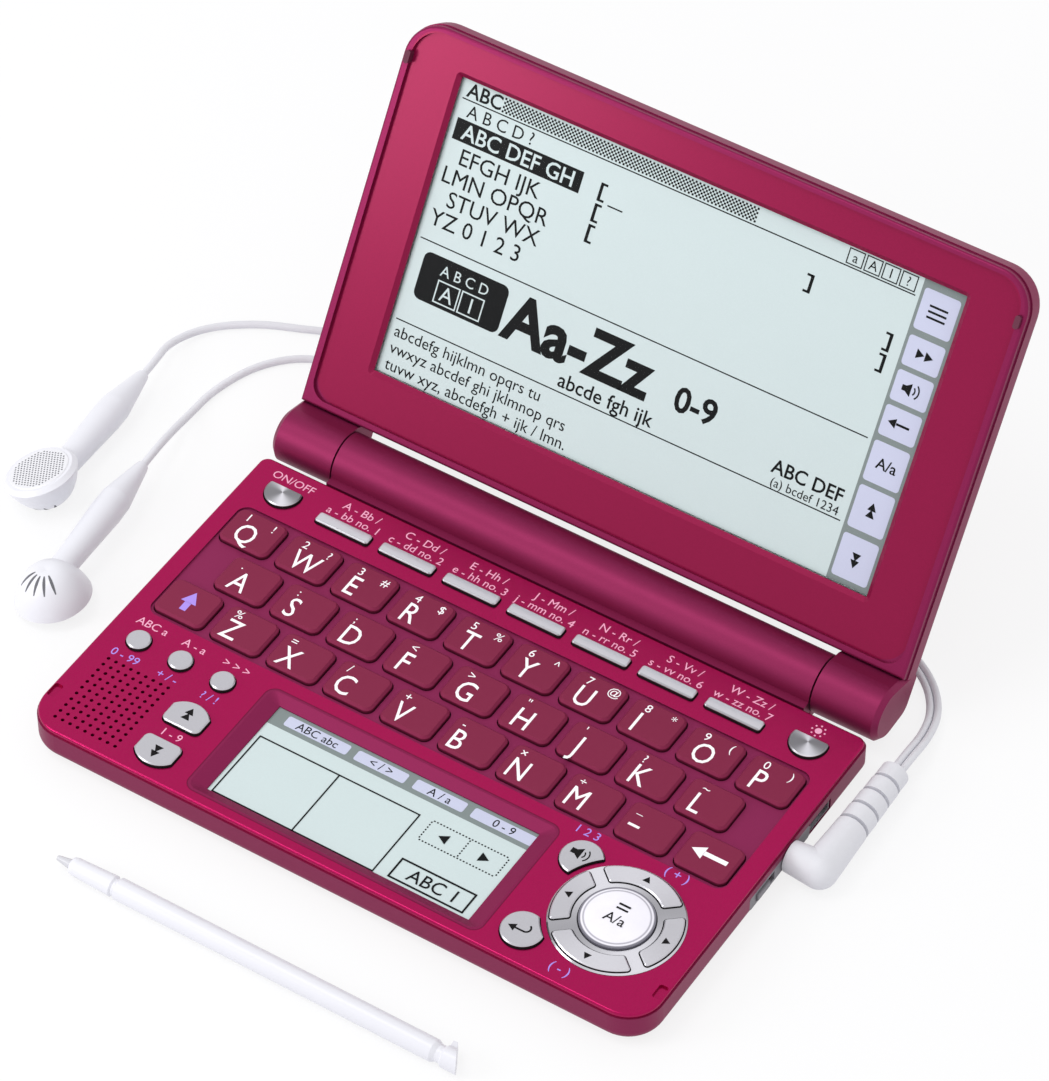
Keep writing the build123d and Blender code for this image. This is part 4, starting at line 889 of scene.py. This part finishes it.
class DICTIONARY_OT_key_legends(bpy.types.Operator):
    """Print the letters, digits and marks on the matt keys"""

    bl_idname = "dictionary.key_legends"
    bl_label = "Key Legends"

    def execute(self, context):
        prints = context.scene.dictionary_print
        white = ink("white_ink", prints.white)
        lilac = ink("lilac_ink", prints.lilac)
        top = top_of("top_row_keys")
        thick = prints.ink / MM
        for node, (letters, over, beside) in rows.items():
            marks = Marks(deck_plane, top - thick, top + thick)
            edge = 4.1 if node == "bottom_row_keys" else 3.2
            places = row_centres(node, len(letters))
            for (x, y), letter, small, side in zip(places, letters, over, beside):
                if letter == "-":
                    marks.bar(x - edge + 1.3, y - 1.45, 2.6, 0.62)
                else:
                    marks.type(letter, x - edge, y - 1.45, prints.letter / MM, -1, stretch=0.8)
                marks.type(small, x - edge + 0.1, y + 2.8, prints.digit / MM, -1)
                if side.strip():
                    marks.type(side, x + 3.4, y + 2.7, prints.digit / MM)
            marks.piece(node.replace("_keys", "_legends"), node + "_body", white, "plum_keys")
        for node, material in (("shift_key", lilac), ("delete_key", white)):
            spot = middle(node)
            marks = Marks(deck_plane, top - thick, top + thick)
            if node == "shift_key":
                marks.arrow(spot.x, spot.y + 0.9, 2.1)
                marks.bar(spot.x, spot.y - 1.3, 1.5, 2.4)
            else:
                marks.arrow(spot.x - 2.2, spot.y, 1.9, 90)
                marks.bar(spot.x + 1.4, spot.y, 5.4, 1.1)
            marks.piece(node + "_legend", node + "_body", material, "plum_keys")
        return {"FINISHED"}


class DICTIONARY_OT_deck_legends(bpy.types.Operator):
    """Print the labels round the plated keys on the deck"""

    bl_idname = "dictionary.deck_legends"
    bl_label = "Deck Legends"

    def execute(self, context):
        prints = context.scene.dictionary_print
        thick = prints.ink / MM
        label = prints.label / MM
        pink = Marks(deck_plane, deck_z - thick, deck_z + thick)
        lilac = Marks(deck_plane, deck_z - thick, deck_z + thick)
        ranges = ("A - Bb", "C - Dd", "E - Hh", "J - Mm", "N - Rr", "S - Vv", "W - Zz")
        for number, letters in enumerate(ranges, 1):
            spot = middle(f"function_key_{number}")
            pink.type(letters + " /", spot.x + 0.6, spot.y + 6.1, label)
            pink.type(letters.lower() + " no. " + str(number), spot.x, spot.y + 3.4, label)
        spot = middle("power_key")
        pink.type("ON/OFF", spot.x, spot.y + 5.3, label)
        spot = middle("backlight_key")
        pink.disc(spot.x, spot.y + 5.2, 0.75)
        for ray in range(8):
            turn = math.radians(45 * ray)
            pink.disc(spot.x + 1.45 * math.cos(turn), spot.y + 5.2 + 1.45 * math.sin(turn), 0.22, 8)
        pairs = (("ABC a", "0 - 99"), ("A - a", "+ / -"), ("> > >", "? / !"))
        for number, (above, under) in enumerate(pairs, 1):
            spot = middle(f"round_key_{number}")
            pink.type(above, spot.x, spot.y + 5.0, label)
            lilac.type(under, spot.x, spot.y - 4.8, label)
        up, down = middle("page_up_key"), middle("page_down_key")
        gap = (up.y + down.y) / 2
        pink.type("1 - 9", up.x, gap, label * 0.95)
        voice = middle("voice_key")
        lilac.type("1 2 3", voice.x - 2.2, voice.y + 6.6, label)
        ring = middle("nav_plate")
        lilac.type("( + )", ring.x + 4.0, ring.y + 16.2, label * 1.1)
        lilac.type("( - )", ring.x - 3.0, ring.y - 16.2, label * 1.1)
        pink.piece("deck_labels", "base", ink("pink_ink", prints.pink), "gloss_magenta")
        lilac.piece("deck_second_labels", "base", bpy.data.materials["lilac_ink"], "gloss_magenta")
        return {"FINISHED"}


class DICTIONARY_OT_plated_marks(bpy.types.Operator):
    """Print the marks on the plated keys"""

    bl_idname = "dictionary.plated_marks"
    bl_label = "Plated Key Marks"

    def execute(self, context):
        prints = context.scene.dictionary_print
        black = ink("black_ink", prints.black, 0.4)
        thick = prints.ink / MM

        def marks_on(node):
            top = top_of(node)
            return Marks(deck_plane, top - thick, top + thick), middle(node)

        for node, turn in (("page_up_key", 0), ("page_down_key", 180)):
            marks, spot = marks_on(node)
            for step in (-0.75, 0.75):
                marks.arrow(spot.x, spot.y + step, 1.15, turn)
            marks.piece(node + "_mark", node + "_body", black, "silver_keys")
        ring = middle("nav_plate")
        for node, turn in ring_keys.items():
            marks, _ = marks_on(node)
            across = math.radians(90 + turn)
            reach = 11.2
            marks.arrow(ring.x + reach * math.cos(across), ring.y + reach * math.sin(across), 1.0, turn)
            marks.piece(node + "_mark", node + "_body", black, "silver_keys")
        marks, spot = marks_on("voice_key")
        marks.bar(spot.x - 2.0, spot.y + 0.6, 1.0, 1.3)
        marks.solid([(spot.x - 1.5, spot.y), (spot.x - 0.2, spot.y - 0.9), (spot.x - 0.2, spot.y + 2.1),
                     (spot.x - 1.5, spot.y + 1.2)])
        for wave in (1.0, 1.9):
            marks.arc(spot.x - 0.4, spot.y + 0.6, wave, 0.3, -48, 48)
        marks.piece("voice_key_mark", "voice_key_body", black, "silver_keys")
        marks, spot = marks_on("back_key")
        marks.arrow(spot.x - 1.9, spot.y - 0.6, 1.1, 90)
        marks.bar(spot.x - 0.3, spot.y - 0.6, 2.2, 0.4)
        marks.arc(spot.x + 0.6, spot.y + 0.4, 1.0, 0.4, -90, 60)
        marks.piece("back_key_mark", "back_key_body", black, "silver_keys")
        marks, spot = marks_on("enter_key")
        for step in (-0.55, 0.55):
            marks.bar(spot.x, spot.y + 2.4 + step, 2.6, 0.42)
        marks.type("A/a", spot.x, spot.y - 0.9, 2.3)
        marks.piece("enter_key_mark", "enter_key_body", black, "clear_white")
        return {"FINISHED"}


class DICTIONARY_OT_main_screen(bpy.types.Operator):
    """Finish the large screen: a generic page of text and the printed touch keys"""

    bl_idname = "dictionary.main_screen"
    bl_label = "Main Screen"

    # In millimetres: W of the panel's front, and places on it
    front = -4.1
    left_edge = -59.0
    strip_edge = 50.0
    right_edge = 59.9
    middle_v = 52.9

    def execute(self, context):
        screens = context.scene.dictionary_screens
        panel = lcd("large_lcd", screens)
        dress(panel, "main_display")
        dress(clear_glass(), "touch_panel")
        film = self.layer(0)
        film.bar(0.0, self.middle_v, 119.9, 66.4)
        film.piece("screen_film", "lid", panel, "large_lcd")
        dark = ink("lcd_ink", screens.ink, 0.45)
        pale = ink("lcd_pale", screens.panel, 0.45)
        self.touch_keys(screens, dark)
        self.page(screens, dark, pale)
        return {"FINISHED"}

    def layer(self, number):
        """Marks in one of the thin layers between the panel and the glass."""
        low = self.front + 0.03 * number
        return Marks(lid_plane, low - 0.02, low + 0.03)

    def touch_keys(self, screens, dark):
        strip = self.layer(1)
        strip.bar((self.strip_edge + self.right_edge) / 2, self.middle_v,
                  self.right_edge - self.strip_edge, 66.3)
        strip.piece("touch_strip", "lid", ink("strip_grey", screens.strip, 0.45), "large_lcd")
        keys, icons = self.layer(2), self.layer(3)
        centre = 54.85
        heights = ((79.9, 8.8), (70.85, 6.5), (63.2, 6.6), (55.5, 6.6),
                   (46.5, 8.8), (36.35, 9.3), (25.6, 9.4))
        for v, height in heights:
            keys.bar(centre, v, 8.3, height, 0.7)
        spots = [v for v, height in heights]
        for step in (-1.2, 0, 1.2):
            icons.bar(centre, spots[0] + step, 4.2, 0.45)
        for step in (-1.0, 1.0):
            icons.arrow(centre + step, spots[1], 1.2, 270)
        icons.bar(centre - 1.8, spots[2], 0.9, 1.2)
        icons.solid([(centre - 1.4, spots[2] - 0.6), (centre - 0.2, spots[2] - 1.4),
                     (centre - 0.2, spots[2] + 1.4), (centre - 1.4, spots[2] + 0.6)])
        for wave in (1.0, 1.9):
            icons.arc(centre - 0.3, spots[2], wave, 0.32, -48, 48)
        icons.arrow(centre - 1.6, spots[3], 1.2, 90)
        icons.bar(centre + 0.6, spots[3], 3.0, 0.5)
        icons.type("A/a", centre, spots[4], 2.3, weight=0.01)
        for spot, turn in ((spots[5], 0), (spots[6], 180)):
            for step in (-0.75, 0.75):
                icons.arrow(centre, spot + step, 1.15, turn)
        keys.piece("touch_keys", "lid", ink("touch_film", screens.touch, 0.45), "large_lcd")
        icons.piece("touch_key_marks", "lid", dark, "large_lcd")

    def page(self, screens, dark, pale):
        left, right = self.left_edge, self.strip_edge - 0.9
        page = self.layer(1)
        page.bar((left + right) / 2, 81.75, right - left, 0.26)
        page.type("ABC", left + 0.6, 83.9, 3.0, -1, weight=0.015)
        for number, letter in enumerate("aA1?"):
            spot = right - 14.5 + 4.1 * number
            page.frame(spot, 83.9, 3.7, 3.4, 0.24)
            page.type(letter, spot, 83.9, 2.0)
        page.type("A B C D ?", left + 2.0, 79.6, 2.7, -1)
        page.bar(left + 15.8, 75.2, 31.0, 4.7)
        lines = ("EFGH IJK", "LMN OPQR", "STUV WX", "YZ 0 1 2 3")
        for number, words in enumerate(lines):
            page.type(words, left + 3.5 - 2.7 * (number % 2), 69.9 - 4.75 * number, 3.5, -1)
        for number in range(3):
            row = 75.1 - 4.6 * number
            far = right - (2.0 if number else 22.0)
            for spot, side in ((left + 36.0, 1), (far, -1)):
                page.bar(spot, row, 0.7, 4.0)
                for end in (-1, 1):
                    page.bar(spot + side * 0.7, row + end * 1.75, 1.2, 0.5)
        page.bar(left + 40.2, 73.0, 3.6, 0.3)
        page.bar((left + right) / 2, 50.4, right - left, 0.26)
        page.bar((left + right) / 2, 31.9, right - left, 0.26)
        page.type("Aa-Zz", left + 41.5, 42.9, 9.6, weight=0.03)
        page.type("0-9", left + 70.5, 41.4, 5.2, weight=0.02)
        page.type("abcde fgh ijk", left + 51.0, 34.6, 3.1, weight=0.008)
        page.bar(left + 12.6, 43.0, 21.0, 10.6, 1.6)
        page.type("ABC DEF", right - 1.0, 36.8, 2.9, 1, weight=0.014)
        page.type("(a) bcdef 1234", right - 1.0, 33.5, 1.9, 1)
        lines = ("abcdefg hijklmn opqrs tu", "vwxyz abcdef ghi jklmnop qrs",
                 "tuvw xyz, abcdefgh + ijk / lmn.")
        for number, words in enumerate(lines):
            page.type(words, left + 0.6, 29.4 - 3.75 * number, 2.5, -1)
        page.piece("page_text", "lid", dark, "large_lcd")
        turned = self.layer(2)
        turned.type("ABC DEF GH", left + 15.8, 75.2, 3.3, weight=0.012)
        turned.type("A B C D", left + 12.6, 45.6, 2.3)
        for number in range(2):
            turned.frame(left + 9.6 + 6.0 * number, 41.0, 5.6, 5.0, 0.3)
            turned.type("A1"[number], left + 9.6 + 6.0 * number, 41.0, 3.2)
        turned.piece("page_reversed_text", "lid", pale, "large_lcd")
        field, band = checks(61.0 * MM, 3.2 * MM, screens.pixel, 0.04 * MM)
        place = (lid_plane @ Matrix.Translation((left + 40.0, 83.85, self.front + 0.03))
                 @ Matrix.Scale(1 / MM, 4))
        settle("page_hatched_band", field.mesh(band, dark, place), "lid", dark)


class DICTIONARY_OT_writing_window(bpy.types.Operator):
    """Finish the small screen: four tabs over boxes to write in"""

    bl_idname = "dictionary.writing_window"
    bl_label = "Writing Window"

    def execute(self, context):
        screens = context.scene.dictionary_screens
        dress(lcd("small_lcd", screens), "writing_display")
        top = top_of("writing_display")
        pad = middle("writing_display")
        upper = pad.y + 13.2
        dark = bpy.data.materials["lcd_ink"]
        strip = Marks(deck_plane, top - 0.02, top + 0.03)
        strip.bar(pad.x, upper - 2.4, 63.4, 5.0)
        strip.piece("window_strip", "base", bpy.data.materials["strip_grey"], "small_lcd")
        tabs = Marks(deck_plane, top - 0.02, top + 0.06)
        labels = Marks(deck_plane, top - 0.02, top + 0.09)
        for words, across, width in (("ABC abc", -20.6, 15.2), ("< / >", -5.1, 12.2),
                                     ("A / a", 9.0, 12.1), ("0 - 9", 24.3, 15.0)):
            tabs.bar(pad.x + across, upper - 2.4, width, 2.7, 0.5)
            labels.type(words, pad.x + across, upper - 2.4, 1.9)
        tabs.piece("window_tabs", "base", bpy.data.materials["touch_film"], "small_lcd")
        for number in range(2):
            labels.frame(pad.x - 20.6 + 19.3 * number, pad.y - 4.1, 19.6, 17.4, 0.3)
        for number in range(2):
            spot = pad.x + 15.9 + 9.1 * number
            labels.arrow(spot, pad.y + 1.9, 1.4, 90 + 180 * number)
        labels.frame(pad.x + 20.4, pad.y - 9.4, 17.8, 5.6, 0.4)
        labels.type("ABC 1", pad.x + 20.4, pad.y - 9.4, 3.0)
        labels.piece("window_marks", "base", dark, "small_lcd")
        dotted = Marks(deck_plane, top - 0.02, top + 0.05)
        step = 0.75
        for number in range(round(18.2 / step)):
            for row in (pad.y - 0.9, pad.y + 4.7):
                dotted.bar(pad.x + 11.4 + step * (number + 0.5), row, 0.36, 0.3)
        for number in range(round(5.4 / step)):
            for column in (11.4, 20.5, 29.6):
                dotted.bar(pad.x + column, pad.y - 0.7 + step * (number + 0.5), 0.3, 0.36)
        dotted.piece("window_dotted_keys", "base", dark, "small_lcd")
        return {"FINISHED"}


# The cords lie on the table; each route runs from the plug's side to the earbuds, in millimetres
trunk_lead = ((80.9, 21.77, 4.6), (80.9, 27.5, 4.6), (80.6, 34.5, 3.0), (78.6, 42.6, 1.4),
              (73.4, 49.6, 0.95), (65.0, 54.6, 0.85), (54.0, 57.9, 0.85), (41.0, 59.4, 0.85),
              (31.0, 59.4, 0.85))
coil_entry = (19.0, 59.4, 0.85)
coil_leaving = (11.0, 59.4, 5.5)
trunk_tail = ((-1.0, 59.4, 4.9), (-6.0, 59.4, 4.7), (-13.0, 59.6, 3.2), (-21.0, 60.4, 1.8),
              (-28.0, 60.4, 1.8))
left_route = ((-40.0, 61.7, 1.8), (-45.0, 61.7, 1.8), (-52.0, 64.0, 1.0), (-57.5, 71.0, 0.95),
              (-57.0, 82.0, 0.95), (-53.5, 92.0, 0.95), (-59.0, 101.5, 0.95), (-70.0, 101.5, 0.95),
              (-76.5, 92.0, 0.95), (-76.5, 80.0, 0.95), (-81.5, 70.5, 0.95), (-91.5, 65.6, 0.95),
              (-102.0, 61.4, 0.95), (-111.0, 54.0, 1.2), (-114.2, 44.5, 2.6), (-112.25, 37.0, 4.6),
              (-112.0, 32.0, 4.6))
right_route = ((-40.0, 59.1, 1.8), (-45.0, 59.1, 1.8), (-52.0, 57.0, 1.0), (-60.0, 54.6, 0.95),
               (-69.0, 56.6, 0.95), (-78.0, 60.6, 0.95), (-87.5, 58.6, 0.95), (-95.2, 50.6, 0.95),
               (-98.8, 39.0, 1.0), (-98.6, 30.0, 1.5), (-97.4, 22.0, 4.0), (-96.1, 14.8, 6.0),
               (-95.6, 8.8, 6.0))
coil_place = (15.0, 82.0)
coil_layers = 4
layer_height = 1.55
lowest_layer = 0.85


def coil_points(phones, per_turn=16):
    """Turns of the put-away coil, clockwise from above: in and out across the coil, layer by layer."""
    steps = phones.turns * per_turn
    spans = phones.turns / coil_layers
    points = []
    for step in range(1, steps):
        turn = step / per_turn
        layer = min(int(turn / spans), coil_layers - 1)
        across = turn / spans - layer
        sway = 1 - 2 * across if layer % 2 == 0 else 2 * across - 1
        far = phones.coil / MM + phones.sway / MM * sway
        rise = max(0.0, (across - 0.85) / 0.15) if layer < coil_layers - 1 else 0.0
        height = lowest_layer + layer_height * (layer + rise)
        angle = -math.pi / 2 - 2 * math.pi * turn
        points.append((coil_place[0] + far * math.cos(angle), coil_place[1] + far * math.sin(angle),
                       height))
    return points


def nurbs(name, route):
    """A cord's centreline: one open NURBS spline with the route as its control points."""
    line = bpy.data.curves.new(name, "CURVE")
    line.dimensions = "3D"
    spline = line.splines.new("NURBS")
    spline.points.add(len(route) - 1)
    for point, place in zip(spline.points, route):
        point.co = (*(value * MM for value in place), 1.0)
    spline.order_u = 3
    spline.use_endpoint_u = True
    line.resolution_u = 6
    return line


def centreline(route):
    """Points along a route's NURBS spline, in metres."""
    line = nurbs("centreline", route)
    holder = bpy.data.objects.new("centreline", line)
    bpy.context.scene.collection.objects.link(holder)
    mesh = bpy.data.meshes.new_from_object(holder.evaluated_get(bpy.context.evaluated_depsgraph_get()))
    points = [vertex.co.copy() for vertex in mesh.vertices]
    bpy.data.objects.remove(holder)
    bpy.data.meshes.remove(mesh)
    return points


def strand(mesh, points, side, radius, sections=10):
    """Round tube beside a centreline, side metres to its right."""
    rings = []
    for number, point in enumerate(points):
        ahead = points[min(number + 1, len(points) - 1)] - points[max(number - 1, 0)]
        across = ahead.cross(Vector((0, 0, 1))).normalized()
        up = across.cross(ahead).normalized()
        centre = point + across * side
        turns = [2 * math.pi * section / sections for section in range(sections)]
        rings.append([mesh.verts.new(centre + across * radius * math.cos(turn)
                                     + up * radius * math.sin(turn)) for turn in turns])
    for first, second in zip(rings, rings[1:]):
        for i in range(sections):
            j = (i + 1) % sections
            mesh.faces.new((first[i], first[j], second[j], second[i]))
    mesh.faces.new(list(reversed(rings[0])))
    mesh.faces.new(rings[-1])


class DICTIONARY_OT_cords(bpy.types.Operator):
    """Lay the earphone cords on the table: the twin trunk with its coil, and two branches"""

    bl_idname = "dictionary.cords"
    bl_label = "Cords"

    def execute(self, context):
        phones = context.scene.dictionary_earphones
        jacket = twin_rubber(phones)
        dress(jacket, "plug_boot")
        white = smooth_white("white_shell", phones.shell, 0.3)
        dress(white, "cord_splitter")
        points = centreline([*trunk_lead, coil_entry, *coil_points(phones), coil_leaving, *trunk_tail])
        mesh = bmesh.new()
        radius = phones.trunk / 4
        for side in (-radius, radius):
            strand(mesh, points, side, radius)
        bmesh.ops.recalc_face_normals(mesh, faces=mesh.faces)
        trunk = settle("trunk_cord", mesh, "base", jacket, smooth=True)
        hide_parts("cord_trunk", "cord_coil")
        branches = (("left_cord", left_route, "cord_left", "earbud_left"),
                    ("right_cord", right_route, "cord_right", "earbud_right"))
        for name, route, node, bud in branches:
            line = nurbs(name, route)
            line.bevel_depth = phones.branch / 2
            line.bevel_resolution = 3
            line.use_fill_caps = True
            line.materials.append(jacket)
            cord = bpy.data.objects.new(name, line)
            context.scene.collection.objects.link(cord)
            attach(cord, "base")
            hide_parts(node)
            points = centreline(route)
        return {"FINISHED"}


def bud_plane(route, roll):
    """Frame of an earbud on its cord's end: Y along the stem away from the head, Z out of the grille."""
    end = Vector(route[-1])
    along = (Vector(route[-2]) - end).normalized()
    outward = Matrix.Rotation(math.radians(roll), 3, along) @ Vector((0, 0, 1))
    outward = (outward - along * outward.dot(along)).normalized()
    across = along.cross(outward)
    turn = Matrix((across, along, outward)).transposed().to_4x4()
    return Matrix.Scale(MM, 4) @ Matrix.Translation(end) @ turn @ Matrix.Translation((0, -38.0, 4.6))


class DICTIONARY_OT_earbuds(bpy.types.Operator):
    """Finish the earbuds: grilles with dark discs and backs with dark slots, painted shade for holes and
    vents that are not cut
    """

    bl_idname = "dictionary.earbuds"
    bl_label = "Earbuds"

    def execute(self, context):
        phones = context.scene.dictionary_earphones
        white = bpy.data.materials["white_shell"]
        dress(white, "earbud_left", "earbud_right")
        dress(plain("grille_white", tint(226, 226, 231), 0.45, 0.2), "earbud_grilles")
        # painted shade: dark discs and slots stand in for the shade inside the grille's holes and the
        # back's vents
        dark = plain("vent_dark", tint(96, 96, 102), 0.7)
        for name, route, roll in (("left", left_route, -20.0), ("right", right_route, 170.0)):
            field, holes = perforations(6.3 * MM, phones.pitch, phones.hole, 0.04 * MM)
            place = bud_plane(route, roll) @ Matrix.Translation((0, 0, 0.21)) @ Matrix.Scale(1 / MM, 4)
            settle(name + "_grille_holes", field.mesh(holes, dark, place), "base", dark)
            self.vents(name, bud_plane(route, roll), dark)
        return {"FINISHED"}

    def vents(self, name, plane, dark):
        """Fan of dark slots draped on the bowl's back, painted shade for vents that are not cut."""
        shell = BVHTree.FromObject(nodes["earbud_" + name], bpy.context.evaluated_depsgraph_get())
        outward = (plane.to_3x3() @ Vector((0, 0, -1))).normalized()
        mesh = bmesh.new()
        for slot in range(5):
            turn = math.radians(-90 + (slot - 2) * 24)
            rings = []
            for step in range(7):
                far = 2.2 + 3.6 * step / 6
                half = 0.26 * math.sin(math.pi * (step + 0.6) / 7.2) + 0.06
                ring = []
                for side in (-1, 1):
                    spot = Vector((far * math.cos(turn) - side * half * math.sin(turn),
                                   far * math.sin(turn) + side * half * math.cos(turn), -30.0))
                    hit = shell.ray_cast(plane @ spot, -outward)[0]
                    ring.append(hit)
                rings.append(ring)
            if any(hit is None for ring in rings for hit in ring):
                continue
            lower = [[mesh.verts.new(hit - outward * 0.1 * MM) for hit in ring] for ring in rings]
            upper = [[mesh.verts.new(hit + outward * 0.05 * MM) for hit in ring] for ring in rings]
            for i in range(6):
                mesh.faces.new((upper[i][0], upper[i][1], upper[i + 1][1], upper[i + 1][0]))
                mesh.faces.new((lower[i][1], lower[i][0], lower[i + 1][0], lower[i + 1][1]))
                for side in (0, 1):
                    mesh.faces.new((lower[i][side], upper[i][side],
                                    upper[i + 1][side], lower[i + 1][side]))
            for end in (0, 6):
                mesh.faces.new((lower[end][0], lower[end][1], upper[end][1], upper[end][0]))
        bmesh.ops.recalc_face_normals(mesh, faces=mesh.faces)
        settle(name + "_vents", mesh, "base", dark)


class DICTIONARY_OT_stylus(bpy.types.Operator):
    """Finish the stylus: white barrel with a greyer tip"""

    bl_idname = "dictionary.stylus"
    bl_label = "Stylus"

    def execute(self, context):
        phones = context.scene.dictionary_earphones
        barrel = Finish("stylus_white")
        x = barrel.axes()[0]
        tip_length = 3.4
        tip = barrel.below(x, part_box("stylus")[0].x / MM + tip_length, 0.1)
        cloud = barrel.noise(0.01)
        base = barrel.blend(tip, barrel.shade(phones.shell, 0.98 + cloud * 0.03), tint(196, 196, 202))
        dress(barrel.skin(Base_Color=base, Roughness=0.34 + cloud * 0.06, Coat_Weight=0.15,
                          Coat_Roughness=0.2, Normal=barrel.bump(barrel.noise(0.0004), 0.05, 0.00003)),
              "stylus")
        return {"FINISHED"}


class DICTIONARY_OT_studio(bpy.types.Operator):
    """Set up the camera, the pale table and the soft lights"""

    bl_idname = "dictionary.studio"
    bl_label = "Studio"

    def execute(self, context):
        studio = context.scene.dictionary_studio
        self.camera(context, studio)
        self.table(context, studio)
        self.world(context, studio)
        self.lamp(context, "key_light", (-0.30, -0.25, 0.95), 0.40, 1.8)
        self.lamp(context, "side_light", (-0.34, -0.36, 0.26), 0.24, 0.8)
        context.scene.view_settings.view_transform = "Standard"
        return {"FINISHED"}

    def camera(self, context, studio):
        lens = bpy.data.cameras.new("camera")
        lens.sensor_fit = "VERTICAL"
        lens.sensor_height = 36.0
        lens.lens = studio.focal / studio.rows * lens.sensor_height
        lens.clip_end = 10.0
        eye = bpy.data.objects.new("camera", lens)
        eye.location = studio.place
        eye.rotation_euler = (math.pi / 2 - studio.elevation, 0, studio.azimuth)
        context.scene.collection.objects.link(eye)
        context.scene.camera = eye

    def table(self, context, studio):
        top = bmesh.new()
        bmesh.ops.create_grid(top, x_segments=1, y_segments=1, size=3.0)
        data = bpy.data.meshes.new("table")
        top.to_mesh(data)
        top.free()
        paint = Finish("table_white")
        seen = self.seen(paint)
        base = worn(paint, studio.floor, 0.01, 0.2)
        matt = paint.node("ShaderNodeBsdfDiffuse", sockets={"Color": base})
        bright = paint.node("ShaderNodeEmission", sockets={"Color": WHITE, "Strength": 1.0})
        data.materials.append(paint.surface(paint.node("ShaderNodeMixShader", sockets={
            0: seen * 0.8, 1: matt, 2: bright})))
        table = bpy.data.objects.new("table", data)
        context.scene.collection.objects.link(table)

    def world(self, context, studio):
        world = bpy.data.worlds.new("studio")
        world.use_nodes = True
        board = Board(world.node_tree)
        world.node_tree.nodes.clear()
        shade = board.node("ShaderNodeMix", {"data_type": "FLOAT"},
                           {0: self.seen(board), 2: studio.sky, 3: 1.0})
        light = board.node("ShaderNodeBackground", sockets={"Color": WHITE, "Strength": shade})
        board.node("ShaderNodeOutputWorld", sockets={"Surface": light})
        context.scene.world = world

    def seen(self, board):
        """1 for rays that show the background: from the camera, or off or through a surface."""
        path = board.node("ShaderNodeLightPath", out="Is Camera Ray")
        glossy = Wire(board, path.socket.node.outputs["Is Glossy Ray"])
        through = Wire(board, path.socket.node.outputs["Is Transmission Ray"])
        return board.math("ADD", path + glossy, through, clamp=True)

    def lamp(self, context, name, place, size, power):
        light = bpy.data.lights.new(name, "AREA")
        light.shape = "DISK"
        light.size = size
        light.energy = power
        lamp = bpy.data.objects.new(name, light)
        lamp.location = place
        aim = Vector((0.0, 0.0, 0.02)) - Vector(place)
        lamp.rotation_euler = aim.to_track_quat("-Z", "Y").to_euler()
        context.scene.collection.objects.link(lamp)


class DICTIONARY_PT_panel(bpy.types.Panel):
    """Settings and steps of the dressing"""

    bl_label = "Dictionary"
    bl_idname = "DICTIONARY_PT_panel"
    bl_space_type = "VIEW_3D"
    bl_region_type = "UI"
    bl_category = "Dictionary"

    def draw(self, context):
        for name in settings:
            box = self.layout.box()
            group = getattr(context.scene, name)
            for key in group.bl_rna.properties.keys():
                if key not in ("rna_type", "name"):
                    box.prop(group, key)
        for operator in operators:
            self.layout.operator(operator.bl_idname)


settings = {
    "dictionary_case": DICTIONARY_PG_case,
    "dictionary_print": DICTIONARY_PG_print,
    "dictionary_screens": DICTIONARY_PG_screens,
    "dictionary_earphones": DICTIONARY_PG_earphones,
    "dictionary_studio": DICTIONARY_PG_studio,
}
operators = (
    DICTIONARY_OT_housing,
    DICTIONARY_OT_inner_parts,
    DICTIONARY_OT_key_caps,
    DICTIONARY_OT_key_legends,
    DICTIONARY_OT_deck_legends,
    DICTIONARY_OT_plated_marks,
    DICTIONARY_OT_main_screen,
    DICTIONARY_OT_writing_window,
    DICTIONARY_OT_cords,
    DICTIONARY_OT_earbuds,
    DICTIONARY_OT_stylus,
    DICTIONARY_OT_studio,
)


def register():
    for name, group in settings.items():
        bpy.utils.register_class(group)
        setattr(bpy.types.Scene, name, PointerProperty(type=group))
    for operator in operators:
        bpy.utils.register_class(operator)
    bpy.utils.register_class(DICTIONARY_PT_panel)


def unregister():
    bpy.utils.unregister_class(DICTIONARY_PT_panel)
    for operator in reversed(operators):
        bpy.utils.unregister_class(operator)
    for name, group in settings.items():
        delattr(bpy.types.Scene, name)
        bpy.utils.unregister_class(group)


def main():
    register()
    for operator in operators:
        family, name = operator.bl_idname.split(".")
        getattr(getattr(bpy.ops, family), name)()


if __name__ == "__main__":
    main()
